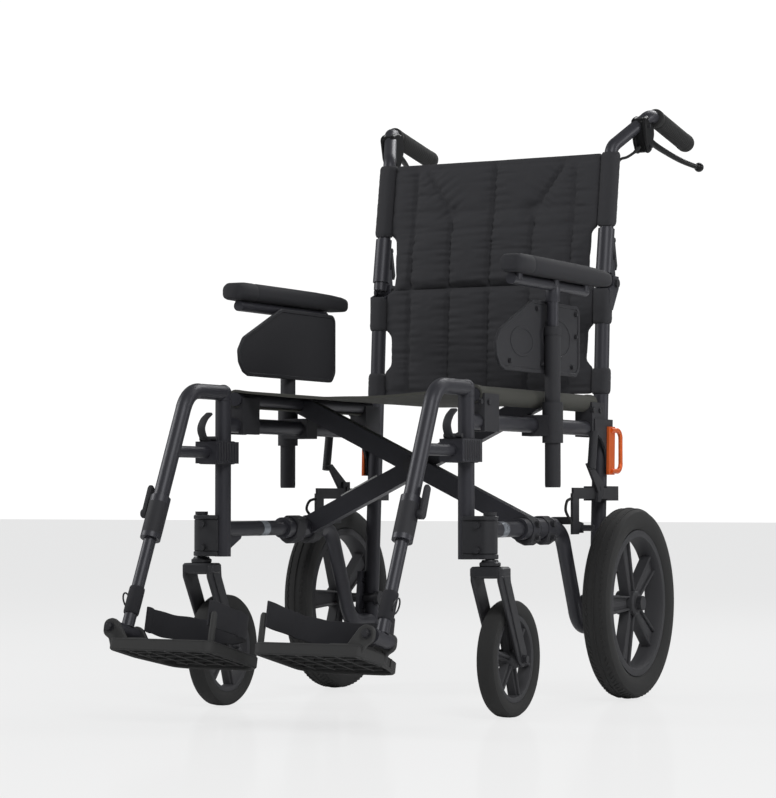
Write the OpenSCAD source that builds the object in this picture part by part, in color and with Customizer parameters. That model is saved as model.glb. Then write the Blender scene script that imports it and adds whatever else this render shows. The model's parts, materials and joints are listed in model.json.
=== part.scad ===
/* Folding transit wheelchair: two side frames joined by a scissor cross brace. */

/* [Side frames] */
// Distance between the centres of the two side frames' tubes
frame_w = 422; // [380:2:500]
// Outside diameter of the upright frame tubes
tube_d = 25; // [22:0.5:28]
// Outside diameter of the side rails
rail_d = 24; // [20:0.5:26]
// Distance from the front post to the rear axle
wheelbase = 491; // [440:1:560]
// Height of the lower side rail's centre
lower_rail_z = 281; // [260:1:300]
// Height of the upper side rail's centre
upper_rail_z = 444; // [420:1:480]
// Height of the dropped rail that meets the foot of the rear post
drop_rail_z = 119; // [100:1:140]
// Distance that the rear post stands behind the axle
axle_setback = 10; // [6:1:14]
// Angle of the rear post from upright
post_lean = 3.4; // [0:0.1:6]

/* [Cross brace and seat] */
// Height of the seat rails' centres with the chair open
seat_rail_z = 485; // [475:1:520]
// Outside diameter of the seat rails
seat_rail_d = 22; // [19:0.5:24]
// Distance that each seat rail sits inside its side frame's centre
seat_rail_inset = 3; // [2:0.5:6]
// Distance from the seat rails' rear ends back to the rear axle
rail_to_axle = 9; // [0:1:60]
// Height of the brace arms' section
arm_h = 30; // [24:1:36]
// Thickness of the brace arms, front to back
arm_t = 20; // [16:1:24]
// Distance from the front brace arm's centre back to the rear axle
arm_to_axle = 245; // [211:1:291]
// Length of the sleeve that each brace arm turns on
sleeve_len = 130; // [100:1:134]
// Thickness of the seat sling
sling_t = 3; // [2:0.5:4]
// Depth that the seat sling sags at its middle
sling_sag = 14; // [8:1:18]

/* [Back] */
// Height of the hinge at which the back folds
back_hinge_z = 690; // [660:1:720]
// Height of the top of the back
back_top_z = 919; // [880:1:960]
// Outside diameter of the upper back canes
cane_d = 22; // [20:0.5:25]
// Angle of the upper canes from upright
cane_lean = 9.2; // [4:0.1:12]
// Thickness of the back upholstery
back_t = 12; // [8:1:16]

/* [Push handles] */
// Distance that each grip stands outside its cane
handle_out = 41; // [30:1:50]
// Height of the handle's bend above the top of the back
handle_rise = 66; // [50:1:80]
// Distance from the top of the back to the handle's bend
handle_reach = 82; // [60:1:100]
// Length of each grip
grip_len = 158; // [130:1:180]
// Outside diameter of each grip
grip_d = 32; // [28:0.5:36]
// Angle that the grips drop towards their ends
grip_drop = 10; // [0:0.5:14]

/* [Rear wheels] */
// Outside diameter of the rear tyres
wheel_d = 314; // [290:1:330]
// Width of the rear tyres
tyre_w = 45; // [38:1:50]
// Distance from a side frame's centre to its wheel's centre
wheel_out = 62; // [58:1:70]
// Diameter of the rear axles
axle_d = 16; // [12:1:18]

/* [Casters] */
// Outside diameter of the front casters
caster_d = 176; // [150:1:190]
// Width of the caster tyres
caster_w = 30; // [25:1:34]
// Distance that each caster's axle trails behind its stem
caster_trail = 66; // [50:1:70]
// Distance from a front post's centre to its caster stem
caster_out = 39; // [34:1:45]
// Diameter of the caster stems
stem_d = 14; // [12:1:16]
// Height of the bottom of the caster housings
housing_z = 238; // [225:1:245]

/* [Leg rests] */
// Outside diameter of the hanger tubes
hanger_d = 24; // [22:0.5:26]
// Outside diameter of the sliding leg tubes
leg_d = 19; // [16:0.5:20]
// Height of the centre of the hanger's top run
hanger_z = 494; // [485:1:505]
// Distance that the hanger's top run reaches ahead of the post
hanger_reach = 105; // [90:1:120]
// Angle of the leg tubes from upright
leg_angle = 25.4; // [20:0.1:30]
// Height of the lower end of the hanger tube
hanger_end_z = 268; // [255:1:300]
// Height of the footplate hinge's bolt
foot_pivot_z = 134; // [125:1:145]

/* [Footplates] */
// Width of each footplate
plate_w = 176; // [150:1:178]
// Length of each footplate
plate_len = 163; // [140:1:180]
// Thickness of each footplate
plate_t = 18; // [12:1:20]
// Angle that the footplates tip up at the toe
toe_up = 13; // [5:0.5:16]
// Height of each heel strap
strap_w = 38; // [25:1:44]
// Thickness of each heel strap
strap_t = 3; // [2:0.5:4]

/* [Armrests] */
// Length of each arm pad
pad_len = 376; // [300:1:400]
// Width of each arm pad
pad_w = 42; // [38:1:50]
// Thickness of each arm pad
pad_t = 30; // [24:1:36]
// Height of the underside of the pads at the middle of their travel
pad_z = 660; // [650:1:700]
// Height that the left pad is set above the middle of its travel
left_pad_up = 13; // [-13:13:39]
// Height that the right pad is set above the middle of its travel
right_pad_up = -13; // [-13:13:39]
// Outside diameter of the armrest's fixed post
arm_post_d = 25; // [22:0.5:27]
// Thickness of the skirt guards
guard_t = 3.5; // [2.5:0.5:5]

/* [Fits] */
// Radial running clearance of every shaft, pin and slide
run_gap = 0.05; // [0.02:0.01:0.08]
// Clearance between fixed pieces that seat on each other
seat_gap = 0.2; // [0.1:0.05:0.3]
// Clearance beside soft and moving pieces
soft_gap = 0.4; // [0.3:0.1:0.8]

/* [Hidden] */
$fn = 64;
LEFT = 1;
RIGHT = -1;

// Places are measured from the front posts; the whole chair is then centred over the origin.
side_x = frame_w / 2;
tube_r = tube_d / 2;
rail_r = rail_d / 2;
wheel_r = wheel_d / 2;
wheel_x = side_x + wheel_out;
caster_r = caster_d / 2;
caster_x = side_x + caster_out;
cane_r = cane_d / 2;
tan_leg = tan(leg_angle);
brace_pivot_z = (lower_rail_z + seat_rail_z) / 2;
brace_rise = seat_rail_z - lower_rail_z;
brace_angle = atan(brace_rise / frame_w);
brace_len = norm([frame_w, brace_rise]);
arm_gap = 0.5;
arm_y = wheelbase - arm_to_axle;
rear_arm_y = arm_y + arm_t + arm_gap;
seat_rail_x = side_x - seat_rail_inset;
seat_rail_start = 30;
seat_rail_len = wheelbase - rail_to_axle - seat_rail_start;
rail_wall = 5;

// Rear post and cane lines: distance behind the front post at a height
function post_y(z) = wheelbase + axle_setback + (z - wheel_r) * tan(post_lean);
function cane_y(z) = post_y(back_hinge_z) + (z - back_hinge_z) * tan(cane_lean);
hinge_back = 20;
hinge_y = post_y(back_hinge_z) + hinge_back;
handle_z = back_top_z + handle_rise;
handle_y = cane_y(back_top_z) + handle_reach;
grip_x = side_x + handle_out;
grip_tail = 12;
handle_len = grip_len + grip_tail;
grip_start_y = handle_y + grip_tail * cos(grip_drop);
grip_end_y = handle_y + handle_len * cos(grip_drop);
grip_end_z = handle_z - handle_len * sin(grip_drop);

// Leg rest line in the side plane: distance behind the front post at a height
leg_top_z = hanger_z - 36;
function leg_y(z) = -hanger_reach - 16 - (leg_top_z - z) * tan_leg;
foot_pivot_y = leg_y(foot_pivot_z) - 8;
pivot_len = 58;
plate_drop = 16;
plate_front = 43;
front_reach = foot_pivot_y - plate_front * cos(toe_up) - (plate_drop + plate_t) * sin(toe_up);
rear_reach = grip_end_y + grip_d / 2 * sin(grip_drop);
origin_shift = -(front_reach + rear_reach) / 2;

// Armrest places
arm_post_x = seat_rail_x + seat_rail_d / 2 + 4.4 + guard_t + arm_post_d / 2;
arm_post_y = wheelbase - 235;
guard_x = arm_post_x - arm_post_d / 2 - guard_t + 0.3;
pad_start = arm_post_y - 178;
arm_tube_d = 17;
inner_post_d = 19;

// Orange tie-down places
tie_z = 408;

function unit(v) = v / norm(v);

module place(s = LEFT) {
  translate([0, origin_shift, 0])
    if (s == LEFT) children();
    else mirror([1, 0, 0]) children();
}

// A straight round bar between two points
module rod(a, b, d) {
  v = b - a;
  translate(a) rotate([0, acos(v[2] / norm(v)), atan2(v[1], v[0])]) cylinder(d = d, h = norm(v));
}

// A quarter-bend or less, at corner p, from direction u to direction v
module elbow(p, u, v, r, d) {
  bend = acos(u * v);
  n = unit(v - (u * v) * u);
  c = p - u * r * tan(bend / 2) + n * r;
  z = cross(-n, u);
  multmatrix([
    [-n[0], u[0], z[0], c[0]],
    [-n[1], u[1], z[1], c[1]],
    [-n[2], u[2], z[2], c[2]],
    [0, 0, 0, 1]
  ]) rotate_extrude(angle = bend) translate([r, 0]) circle(d = d + elbow_swell);
}

// A bent tube through corner points, each rounded to radius r. Its bends are a shade fatter
// than its straight runs, whose ends lie inside them.
elbow_swell = 0.4;
elbow_lap = 1.5;
module bent_tube(pts, r, d) {
  last = len(pts) - 1;
  dirs = [for (i = [0:last - 1]) unit(pts[i + 1] - pts[i])];
  cut = [for (i = [0:last]) i == 0 || i == last ? 0 : r * tan(acos(dirs[i - 1] * dirs[i]) / 2)];
  lap = [for (i = [0:last]) i == 0 || i == last ? 0 : elbow_lap];
  for (i = [0:last - 1])
    rod(pts[i] + dirs[i] * (cut[i] - lap[i]),
      pts[i + 1] - dirs[i] * (cut[i + 1] - lap[i + 1]), d);
  for (i = [1:1:last - 1])
    elbow(pts[i], dirs[i - 1], dirs[i], r, d);
}

// A plate in the side plane: an outline of [distance back, height] points, from x to x + t
module side_plate(x, t, points) {
  translate([x + t, 0, 0]) rotate([0, -90, 0])
    linear_extrude(t) polygon([for (p = points) [p[1], p[0]]]);
}

// A round disc or hole along X
module x_pin(x, y, z, d, len) {
  translate([x, y, z]) rotate([0, 90, 0]) cylinder(d = d, h = len);
}

// ---- Side frames ----

drop_back = 72;
rail_bend = 45;
post_top = hanger_z - hanger_d / 2 - 1;
pin_bore = 18;
pin_depth = 60;

module side_frame() {
  color("#3a3d42") difference() {
    union() {
      rod([side_x, 0, housing_z], [side_x, 0, post_top], tube_d);
      rod([side_x, 0, upper_rail_z], [side_x, post_y(upper_rail_z), upper_rail_z], rail_d);
      bent_tube([
        [side_x, 0, lower_rail_z],
        [side_x, wheelbase - 140, lower_rail_z],
        [side_x, wheelbase - 140 + drop_back, drop_rail_z],
        [side_x, post_y(drop_rail_z), drop_rail_z]
      ], rail_bend, rail_d);
      rod([side_x, post_y(drop_rail_z - 12), drop_rail_z - 12],
        [side_x, post_y(back_hinge_z - 12), back_hinge_z - 12], tube_d);
      axle_plate();
      front_gusset();
      back_ears();
    }
    translate([side_x, 0, post_top - pin_depth]) cylinder(d = pin_bore, h = pin_depth + 1);
    x_pin(side_x - 30, wheelbase, wheel_r, axle_d + 2 * seat_gap, 60);
    back_pin_hole();
  }
}

// The plate at the foot of the rear post, with spare axle holes
plate_hole_d = 10;
axle_plate_t = 7;
module axle_plate() {
  x = side_x + tube_r - axle_plate_t / 2;
  difference() {
    side_plate(x, axle_plate_t, [
      [wheelbase - 22, wheel_r - 34], [wheelbase + 26, wheel_r - 34],
      [wheelbase + 28, wheel_r + 46], [wheelbase - 12, wheel_r + 46]
    ]);
    for (z = [wheel_r - 22, wheel_r + 30])
      x_pin(x - 1, wheelbase - 4, z, plate_hole_d, axle_plate_t + 2);
  }
}

module front_gusset() {
  side_plate(side_x - 3, 6, [
    [0, housing_z + 4], [0, lower_rail_z], [62, lower_rail_z], [50, lower_rail_z - 16]
  ]);
}

// Two ears that carry the back's hinge pin
ear_t = 4;
ear_in = 11;
back_pin_d = 8;
module back_ears() {
  for (x = [side_x - ear_in - ear_t, side_x + ear_in])
    side_plate(x, ear_t, [
      [hinge_y - hinge_back - 8, back_hinge_z - 46], [hinge_y - hinge_back + 6, back_hinge_z - 46],
      [hinge_y + 12, back_hinge_z - 8], [hinge_y + 12, back_hinge_z + 12],
      [hinge_y - 12, back_hinge_z + 12], [hinge_y - 12, back_hinge_z - 4],
      [hinge_y - hinge_back - 8, back_hinge_z - 10]
    ]);
}

module back_pin_hole() {
  x_pin(side_x - 25, hinge_y, back_hinge_z, back_pin_d + 2 * seat_gap, 50);
}

// ---- Caster housing ----

housing_h = 65;
housing_d = 36;
module caster_housing() {
  color("#2c2e32") difference() {
    union() {
      translate([caster_x, 0, housing_z]) cylinder(d = housing_d, h = housing_h);
      translate([side_x, -housing_d / 2, housing_z]) cube([caster_out, housing_d, housing_h]);
    }
    translate([caster_x, 0, housing_z - 1]) cylinder(d = stem_d + 2 * run_gap, h = housing_h + 2);
    translate([side_x, 0, housing_z - 1]) cylinder(d = tube_d + 2 * seat_gap, h = housing_h + 2);
    rod([side_x, 0, lower_rail_z], [side_x, 60, lower_rail_z], rail_d + 2 * seat_gap);
    front_gusset_room();
  }
}

module front_gusset_room() {
  translate([side_x - 4, 0, housing_z - 1]) cube([8, 70, lower_rail_z - housing_z + 2]);
}

// ---- Fittings on the upper rail ----

saddle_len = 52;
saddle_y = 34;
socket_len = 36;
socket_z = 416;
socket_h = 64;
saddle_wall = 4;

module rail_fittings() {
  color("#1e1f22") {
    for (y = [saddle_y, wheelbase - 42]) saddle(y);
    arm_socket();
    rear_gusset();
  }
}

// An open-topped plastic saddle that the seat rail drops into
module saddle(y) {
  w = rail_d + 2 * saddle_wall;
  difference() {
    translate([side_x - w / 2, y, upper_rail_z - rail_r - 2])
      cube([w / 2 + tube_r + 2, saddle_len, seat_rail_z - upper_rail_z + rail_r + 4]);
    rod([side_x, y - 1, upper_rail_z], [side_x, y + saddle_len + 1, upper_rail_z],
      rail_d + 2 * seat_gap);
    translate([side_x - 8, y - 1, upper_rail_z - rail_r - 3]) cube([16, saddle_len + 2, 12]);
    rod([seat_rail_x, y - 1, seat_rail_z], [seat_rail_x, y + saddle_len + 1, seat_rail_z],
      seat_rail_d + 2 * soft_gap);
    translate([seat_rail_x - seat_rail_d / 2 - soft_gap, y - 1, seat_rail_z])
      cube([seat_rail_d + 2 * soft_gap, saddle_len + 2, 40]);
  }
}

// The clamp that holds the armrest's post beside the upper rail
module arm_socket() {
  y = arm_post_y - socket_len / 2;
  difference() {
    union() {
      translate([arm_post_x, arm_post_y, socket_z]) cylinder(d = arm_post_d + 8, h = socket_h);
      translate([side_x - rail_r - 5, y, upper_rail_z - rail_r - 5])
        cube([arm_post_x - side_x + rail_r + 5, socket_len, rail_d + 9]);
    }
    rod([side_x, y - 1, upper_rail_z], [side_x, y + socket_len + 1, upper_rail_z],
      rail_d + 2 * seat_gap);
    translate([arm_post_x, arm_post_y, socket_z - 1])
      cylinder(d = arm_post_d + 2 * seat_gap, h = socket_h + 2);
    translate([seat_rail_x - seat_rail_d, y - 1, seat_rail_z - seat_rail_d / 2 - 1])
      cube([seat_rail_d * 1.5 + 2.2, socket_len + 2, 40]);
  }
}

// The curved plate between the upper rail and the rear post
gusset_t = 4;
module rear_gusset() {
  side_plate(side_x + tube_r + seat_gap, gusset_t, [
    [post_y(upper_rail_z) - 62, upper_rail_z - 9],
    for (a = [0:15:75])
      [post_y(upper_rail_z) - 62 + 52 * sin(a), upper_rail_z - 61 + 52 * cos(a)],
    [post_y(upper_rail_z) - 8, upper_rail_z - 76], [post_y(upper_rail_z) + 12, upper_rail_z - 76],
    [post_y(upper_rail_z) + 14, upper_rail_z + 16], [post_y(upper_rail_z) - 62, upper_rail_z + 16]
  ]);
}

// ---- Axles, bolts and nuts ----

axle_start = side_x - tube_r - 9;
axle_end = wheel_x + tyre_w / 2 + 3;
module hardware() {
  color("#b9bcc0") {
    axle();
    for (z = [housing_z + 14, housing_z + housing_h - 14])
      translate([caster_x - 13, -housing_d / 2 - 4, z]) rotate([-90, 0, 0])
        cylinder(d = 10, h = 4 - seat_gap);
    translate([caster_x, 0, housing_z + housing_h + seat_gap]) cylinder(d = 20, h = 5);
    back_pin();
  }
}

module axle() {
  x_pin(axle_start, wheelbase, wheel_r, axle_d, axle_end - axle_start - 8);
  x_pin(side_x - tube_r - 10, wheelbase, wheel_r, axle_d + 8, 8);
  x_pin(axle_end - 9, wheelbase, wheel_r, axle_d + 8, 8);
}

module back_pin() {
  x_pin(side_x - ear_in - ear_t - 2, hinge_y, back_hinge_z, back_pin_d, 2 * (ear_in + ear_t) + 4);
  x_pin(side_x + ear_in + ear_t + 0.3, hinge_y, back_hinge_z, back_pin_d + 6, 4);
  x_pin(side_x - ear_in - ear_t - 4.3, hinge_y, back_hinge_z, back_pin_d + 6, 4);
}

// ---- Tie-down loop on the rear post ----

tie_d = 8;
tie_back = 26;
module tie_down() {
  x = side_x + tube_r + gusset_t + seat_gap * 2;
  y = post_y(tie_z);
  color("#e2571c") {
    side_plate(x, 4, [[y - 13, tie_z - 40], [y + 13, tie_z - 40], [y + 16, tie_z + 40],
      [y - 10, tie_z + 40]]);
    tie_loop(x + 4, y + 12);
  }
}

module tie_loop(x, y) {
  difference() {
    bent_tube([
      [x, y - 14, tie_z + 34], [x, y + tie_back, tie_z + 34], [x, y + tie_back, tie_z - 34],
      [x, y - 14, tie_z - 34]
    ], 14, tie_d);
    translate([x - 20 - 2, y - 40, tie_z - 60]) cube([20, 100, 120]);
  }
}

// ---- Wheel lock ----

lock_x = side_x + tube_r + 9;
lock_z = 337;
lock_pivot_y = wheelbase - 41;
lock_pivot_z = 345;
lock_front_y = wheelbase - 145;
module lock_mount() {
  color("#a9adb2") difference() {
    union() {
      side_plate(lock_x, 4, [
        [lock_front_y, lock_z - 9], [lock_front_y, lock_z + 9],
        [post_y(lock_z) - tube_r - 1, lock_z + 9], [post_y(lock_z) - tube_r - 1, lock_z - 9]
      ]);
      side_plate(lock_x, 4, [
        [lock_front_y - 4, lock_z - 66], [lock_front_y - 4, lock_z], [lock_front_y + 22, lock_z],
        [lock_front_y + 22, lock_z - 66]
      ]);
      side_plate(lock_x, 4, [
        [lock_pivot_y - 12, lock_z - 9], [lock_pivot_y - 12, lock_pivot_z + 12],
        [lock_pivot_y + 12, lock_pivot_z + 12], [lock_pivot_y + 12, lock_z - 9]
      ]);
      translate([side_x - tube_r - 4, post_y(lock_z) - tube_r - 14, lock_z - 12])
        cube([lock_x - side_x + tube_r + 8, tube_d + 24, 24]);
      x_pin(lock_x + 1, lock_front_y + 32, lock_z - 56, 10, 24);
      side_plate(lock_x, 4, [
        [lock_front_y + 14, lock_z - 64], [lock_front_y + 14, lock_z - 44],
        [lock_front_y + 40, lock_z - 48], [lock_front_y + 40, lock_z - 64]
      ]);
      translate([side_x - 12, lock_front_y - 4, lower_rail_z + rail_r - 6])
        cube([lock_x - side_x + 14, 26, 12]);
    }
    rod([side_x, post_y(lock_z - 60), lock_z - 60], [side_x, post_y(lock_z + 60), lock_z + 60],
      tube_d + 2 * seat_gap);
    bent_tube([
      [side_x, 0, lower_rail_z], [side_x, wheelbase - 140, lower_rail_z],
      [side_x, wheelbase - 140 + drop_back, drop_rail_z]
    ], rail_bend, rail_d + 2 * seat_gap);
    x_pin(lock_x - 1, lock_pivot_y, lock_pivot_z, 8 + 2 * run_gap, 8);
  }
}

lock_lever_x = lock_x + 4 + 0.4;
module lock_lever() {
  color("#1d1e20") {
    x_pin(lock_x - 3, lock_pivot_y, lock_pivot_z, 8, 12);
    side_plate(lock_lever_x, 4, [
      [lock_pivot_y + 10, lock_pivot_z - 10], [lock_pivot_y + 12, lock_pivot_z + 8],
      [lock_pivot_y - 44, lock_pivot_z + 42], [lock_pivot_y - 58, lock_pivot_z + 40],
      [lock_pivot_y - 12, lock_pivot_z - 6], [lock_pivot_y - 14, lock_pivot_z - 22],
      [lock_pivot_y - 4, lock_pivot_z - 22]
    ]);
    rod([lock_lever_x + 8, lock_pivot_y - 51, lock_pivot_z + 32],
      [lock_lever_x + 8, lock_pivot_y - 40, lock_pivot_z + 92], 14);
  }
}

// ---- Cross brace ----

// One brace arm, hinged on the rail at +X and rising to the seat rail at -X
module brace_arm(y) {
  seat_end = brace_len - seat_rail_inset / cos(brace_angle);
  difference() {
    union() {
      difference() {
        translate([side_x, y, lower_rail_z]) rotate([0, brace_angle, 0])
          translate([-seat_end, -arm_t / 2, -arm_h / 2])
            cube([seat_end - 4, arm_t, arm_h]);
        translate([-seat_rail_x - 30, y - arm_t, seat_rail_z + arm_cut])
          cube([60, 2 * arm_t, 30]);
      }
      rod([side_x, brace_y0, lower_rail_z], [side_x, brace_y0 + sleeve_len, lower_rail_z],
        rail_d + 2 * rail_wall);
      rod([-seat_rail_x, seat_rail_start, seat_rail_z],
        [-seat_rail_x, seat_rail_start + seat_rail_len, seat_rail_z], seat_rail_d);
    }
    rod([side_x, brace_y0 - 1, lower_rail_z], [side_x, brace_y0 + sleeve_len + 1, lower_rail_z],
      rail_d + 2 * run_gap);
    rod([0, arm_y - 60, brace_pivot_z], [0, arm_y + 90, brace_pivot_z], pivot_d + 2 * run_gap);
  }
}

// The arm's top corner is cut level, under the sling, this far above the seat rail's centre
arm_cut = 4;
pivot_d = 12;
brace_y0 = arm_y - 60;

module cross_arm_front() {
  color("#34373b") brace_arm(arm_y);
}

module cross_arm_rear() {
  color("#34373b") mirror([1, 0, 0]) brace_arm(rear_arm_y);
}

module cross_pivot() {
  color("#c4c6c9") {
    rod([0, arm_y - arm_t / 2 - 6, brace_pivot_z], [0, rear_arm_y + arm_t / 2 + 6, brace_pivot_z],
      pivot_d);
    rod([0, arm_y - arm_t / 2 - 10, brace_pivot_z], [0, arm_y - arm_t / 2 - seat_gap, brace_pivot_z],
      pivot_d + 10);
    rod([0, rear_arm_y + arm_t / 2 + arm_gap, brace_pivot_z],
      [0, rear_arm_y + arm_t / 2 + 10, brace_pivot_z], pivot_d + 10);
  }
}

// ---- Seat and back ----

sling_steps = 10;
sling_z = seat_rail_z + seat_rail_d / 2 + soft_gap;
function sling_line(x) = sling_z - sling_sag * (1 - pow(x / seat_rail_x, 2));
module seat_sling() {
  xs = [for (i = [-sling_steps:sling_steps]) seat_rail_x * i / sling_steps];
  color("#3b3d38") translate([0, seat_rail_start + seat_rail_len - 2, 0]) rotate([90, 0, 0])
    linear_extrude(seat_rail_len - 4) polygon(concat(
      [for (x = xs) [x, sling_line(x)]],
      [for (i = [2 * sling_steps:-1:0]) [xs[i], sling_line(xs[i]) + sling_t]]
    ));
}

// A leaning panel between the canes, from z0 to z1 along a line through y0 and y1
module back_panel(z0, y0, z1, y1, half_w) {
  translate([-half_w, 0, 0]) side_plate(0, 2 * half_w, [
    [y0 - back_t / 2, z0], [y0 + back_t / 2, z0], [y1 + back_t / 2, z1], [y1 - back_t / 2, z1]
  ]);
}

module back_lower() {
  color("#26282c") back_panel(sling_z + sling_t + 3, post_y(sling_z), back_hinge_z - 50,
    post_y(back_hinge_z - 50), side_x - tube_r - soft_gap);
}

module back_upper() {
  color("#26282c") back_panel(back_hinge_z + 6, cane_y(back_hinge_z + 6), back_top_z - 4,
    cane_y(back_top_z - 4), side_x - cane_r - 1 - soft_gap - cane_wall);
}

// ---- Upper canes, handles and attendant brakes ----

cane_wall = 3;
cane_base_z = back_hinge_z + 2;
module cane_tube(d) {
  bent_tube([
    [side_x, cane_y(cane_base_z), cane_base_z],
    [side_x, cane_y(back_top_z + 4), back_top_z + 4],
    [grip_x - 2, handle_y - 2, handle_z],
    [grip_x, grip_end_y - 4, grip_end_z + 1]
  ], 26, d);
}

// The cane's foot: a socket block with a tongue between the ears
module cane() {
  color("#2f3236") difference() {
    union() {
      cane_tube(cane_d);
      rod([side_x, cane_y(back_hinge_z + 16), back_hinge_z + 16],
        [side_x, cane_y(back_hinge_z + 92), back_hinge_z + 92], cane_d + 2 * cane_wall);
      x_pin(side_x - ear_in + 0.4, hinge_y, back_hinge_z, 20, 2 * ear_in - 0.8);
      side_plate(side_x - ear_in + 0.4, 2 * ear_in - 0.8, [
        [cane_y(cane_base_z) - 4, back_hinge_z + 4], [hinge_y, back_hinge_z + 2],
        [hinge_y + 10, back_hinge_z + 2], [hinge_y + 4, back_hinge_z + 40],
        [cane_y(cane_base_z), back_hinge_z + 40]
      ]);
    }
    x_pin(side_x - 25, hinge_y, back_hinge_z, back_pin_d + 2 * run_gap, 50);
  }
}

module grip() {
  a = [grip_x - 0.4, grip_start_y, handle_z - grip_tail * sin(grip_drop)];
  b = [grip_x, grip_end_y, grip_end_z];
  color("#151618") difference() {
    rod(a, b, grip_d);
    cane_tube(cane_d + 2 * seat_gap);
    rod(a - unit(b - a) * 4, a + unit(b - a) * 3, cane_d + 2 * seat_gap);
  }
}

// The release lever on the back's hinge: a bent steel strip behind the cane
latch_z = back_hinge_z + 74;
latch_pin_d = 8;
latch_pin_y = cane_y(latch_z) + (cane_r + cane_wall) / cos(cane_lean) + latch_pin_d / 2 + 0.3;
module back_latch() {
  y = latch_pin_y;
  color("#8d9196") {
    x_pin(side_x - 9, y, latch_z, latch_pin_d, 18);
    side_plate(side_x - 7, 14, [
      [y - 2, latch_z + 5], [y + 4, latch_z + 5], [y + 15, latch_z - 42], [y + 11, latch_z - 50],
      [y + 7, latch_z - 44], [y - 2, latch_z - 6]
    ]);
  }
}

brake_x = grip_x - 11;
brake_y = handle_y - 16;
brake_pivot_z = handle_z - 36;
brake_pivot_y = handle_y + 2;
module brake_housing() {
  color("#1b1c1f") difference() {
    side_plate(brake_x - 13, 26, [
      [brake_y - 26, handle_z - 10], [brake_y + 22, handle_z - 2], [brake_y + 26, handle_z - 34],
      [brake_y + 12, handle_z - 62], [brake_y - 2, handle_z - 68], [brake_y - 14, handle_z - 48]
    ]);
    cane_tube(cane_d + 2 * seat_gap);
    x_pin(brake_x - 20, brake_pivot_y, brake_pivot_z, 6 + 2 * run_gap, 40);
    translate([brake_x - 5, brake_pivot_y - 10, handle_z - 90]) cube([10, 60, 74]);
  }
}

// The pull lever: a flat arm with a ball at its end
lever_end_y = grip_end_y - 16;
lever_end_z = brake_pivot_z - 38;
ball_d = 17;
lever_splay = 40;
module brake_lever() {
  color("#121315") {
    x_pin(brake_x - 12.5, brake_pivot_y, brake_pivot_z, 6, 25);
    side_plate(brake_x - 4.5, 9, [
      [brake_pivot_y - 7, brake_pivot_z + 5], [brake_pivot_y + 8, brake_pivot_z + 8],
      [brake_pivot_y + 30, brake_pivot_z - 4], [brake_pivot_y + 34, brake_pivot_z - 15],
      [brake_pivot_y + 16, brake_pivot_z - 12], [brake_pivot_y - 7, brake_pivot_z - 7]
    ]);
    rod([brake_x, brake_pivot_y + 26, brake_pivot_z - 9],
      [brake_x + lever_splay, lever_end_y, lever_end_z], 9);
    translate([brake_x + lever_splay, lever_end_y, lever_end_z]) sphere(d = ball_d);
  }
}

// The brake's cable, clipped down the back of the cane
cable_d = 5;
cable_route = [
  [brake_x, brake_y - 10.5, handle_z - 56.9],
  [brake_x - 4, brake_y - 22, handle_z - 66],
  [brake_x - 14, brake_y - 34, handle_z - 76],
  [side_x + 6, cane_y(back_top_z) + 22, back_top_z - 16],
  [side_x + 2, cane_y(back_top_z - 40) + 18, back_top_z - 40],
  [side_x, cane_y(back_top_z - 70) + 17, back_top_z - 70],
  [side_x, cane_y(latch_z + 20) + 17.4, latch_z + 20]
];
module brake_cable() {
  color("#101113") cord_tube(cable_route, cable_d, 8);
}

// A closed tube of flat sides swept along a route, with one ring at each point
module cord_tube(route, d, sides) {
  n = len(route);
  ring = [for (i = [0:n - 1]) let (
      t = unit(route[min(i + 1, n - 1)] - route[max(i - 1, 0)]),
      u = unit(cross([1, 0.2, 0], t)),
      v = cross(t, u)
    ) each [for (k = [0:sides - 1])
      route[i] + d / 2 * (cos(360 * k / sides) * u + sin(360 * k / sides) * v)]];
  walls = [for (i = [0:n - 2]) each [for (k = [0:sides - 1])
    [i * sides + k, i * sides + (k + 1) % sides, (i + 1) * sides + (k + 1) % sides,
      (i + 1) * sides + k]]];
  first = [for (k = [sides - 1:-1:0]) k];
  final = [for (k = [0:sides - 1]) (n - 1) * sides + k];
  polyhedron(ring, concat([first], walls, [final]));
}

// ---- Armrests ----

function pad_up(s) = s == LEFT ? left_pad_up : right_pad_up;
guard_z0 = 525;
guard_z1 = 640;
module armrest(up) {
  z = pad_z + up - 15;
  color("#2f3236") {
    translate([arm_post_x, arm_post_y, arm_post_top - 110 + up])
      cylinder(d = inner_post_d, h = z - arm_post_top + 110 - up);
    rod([arm_post_x, pad_start + 12, z], [arm_post_x, pad_start + pad_len - 64, z], arm_tube_d);
    for (y = [pad_start + 40, pad_start + pad_len - 110])
      translate([arm_post_x - 7, y, z]) cube([14, 26, 15 - soft_gap]);
  }
}

module arm_pad(up) {
  x = guard_x + 0.5;
  z = pad_z + up;
  color("#17181a") {
    translate([x, pad_start + pad_w / 2, z]) cube([pad_w, pad_len - pad_w / 2, pad_t]);
    intersection() {
      translate([x + pad_w / 2, pad_start + pad_w / 2, z]) cylinder(d = pad_w, h = pad_t);
      translate([x, pad_start, z]) cube([pad_w, pad_w, pad_t]);
    }
  }
}

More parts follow.
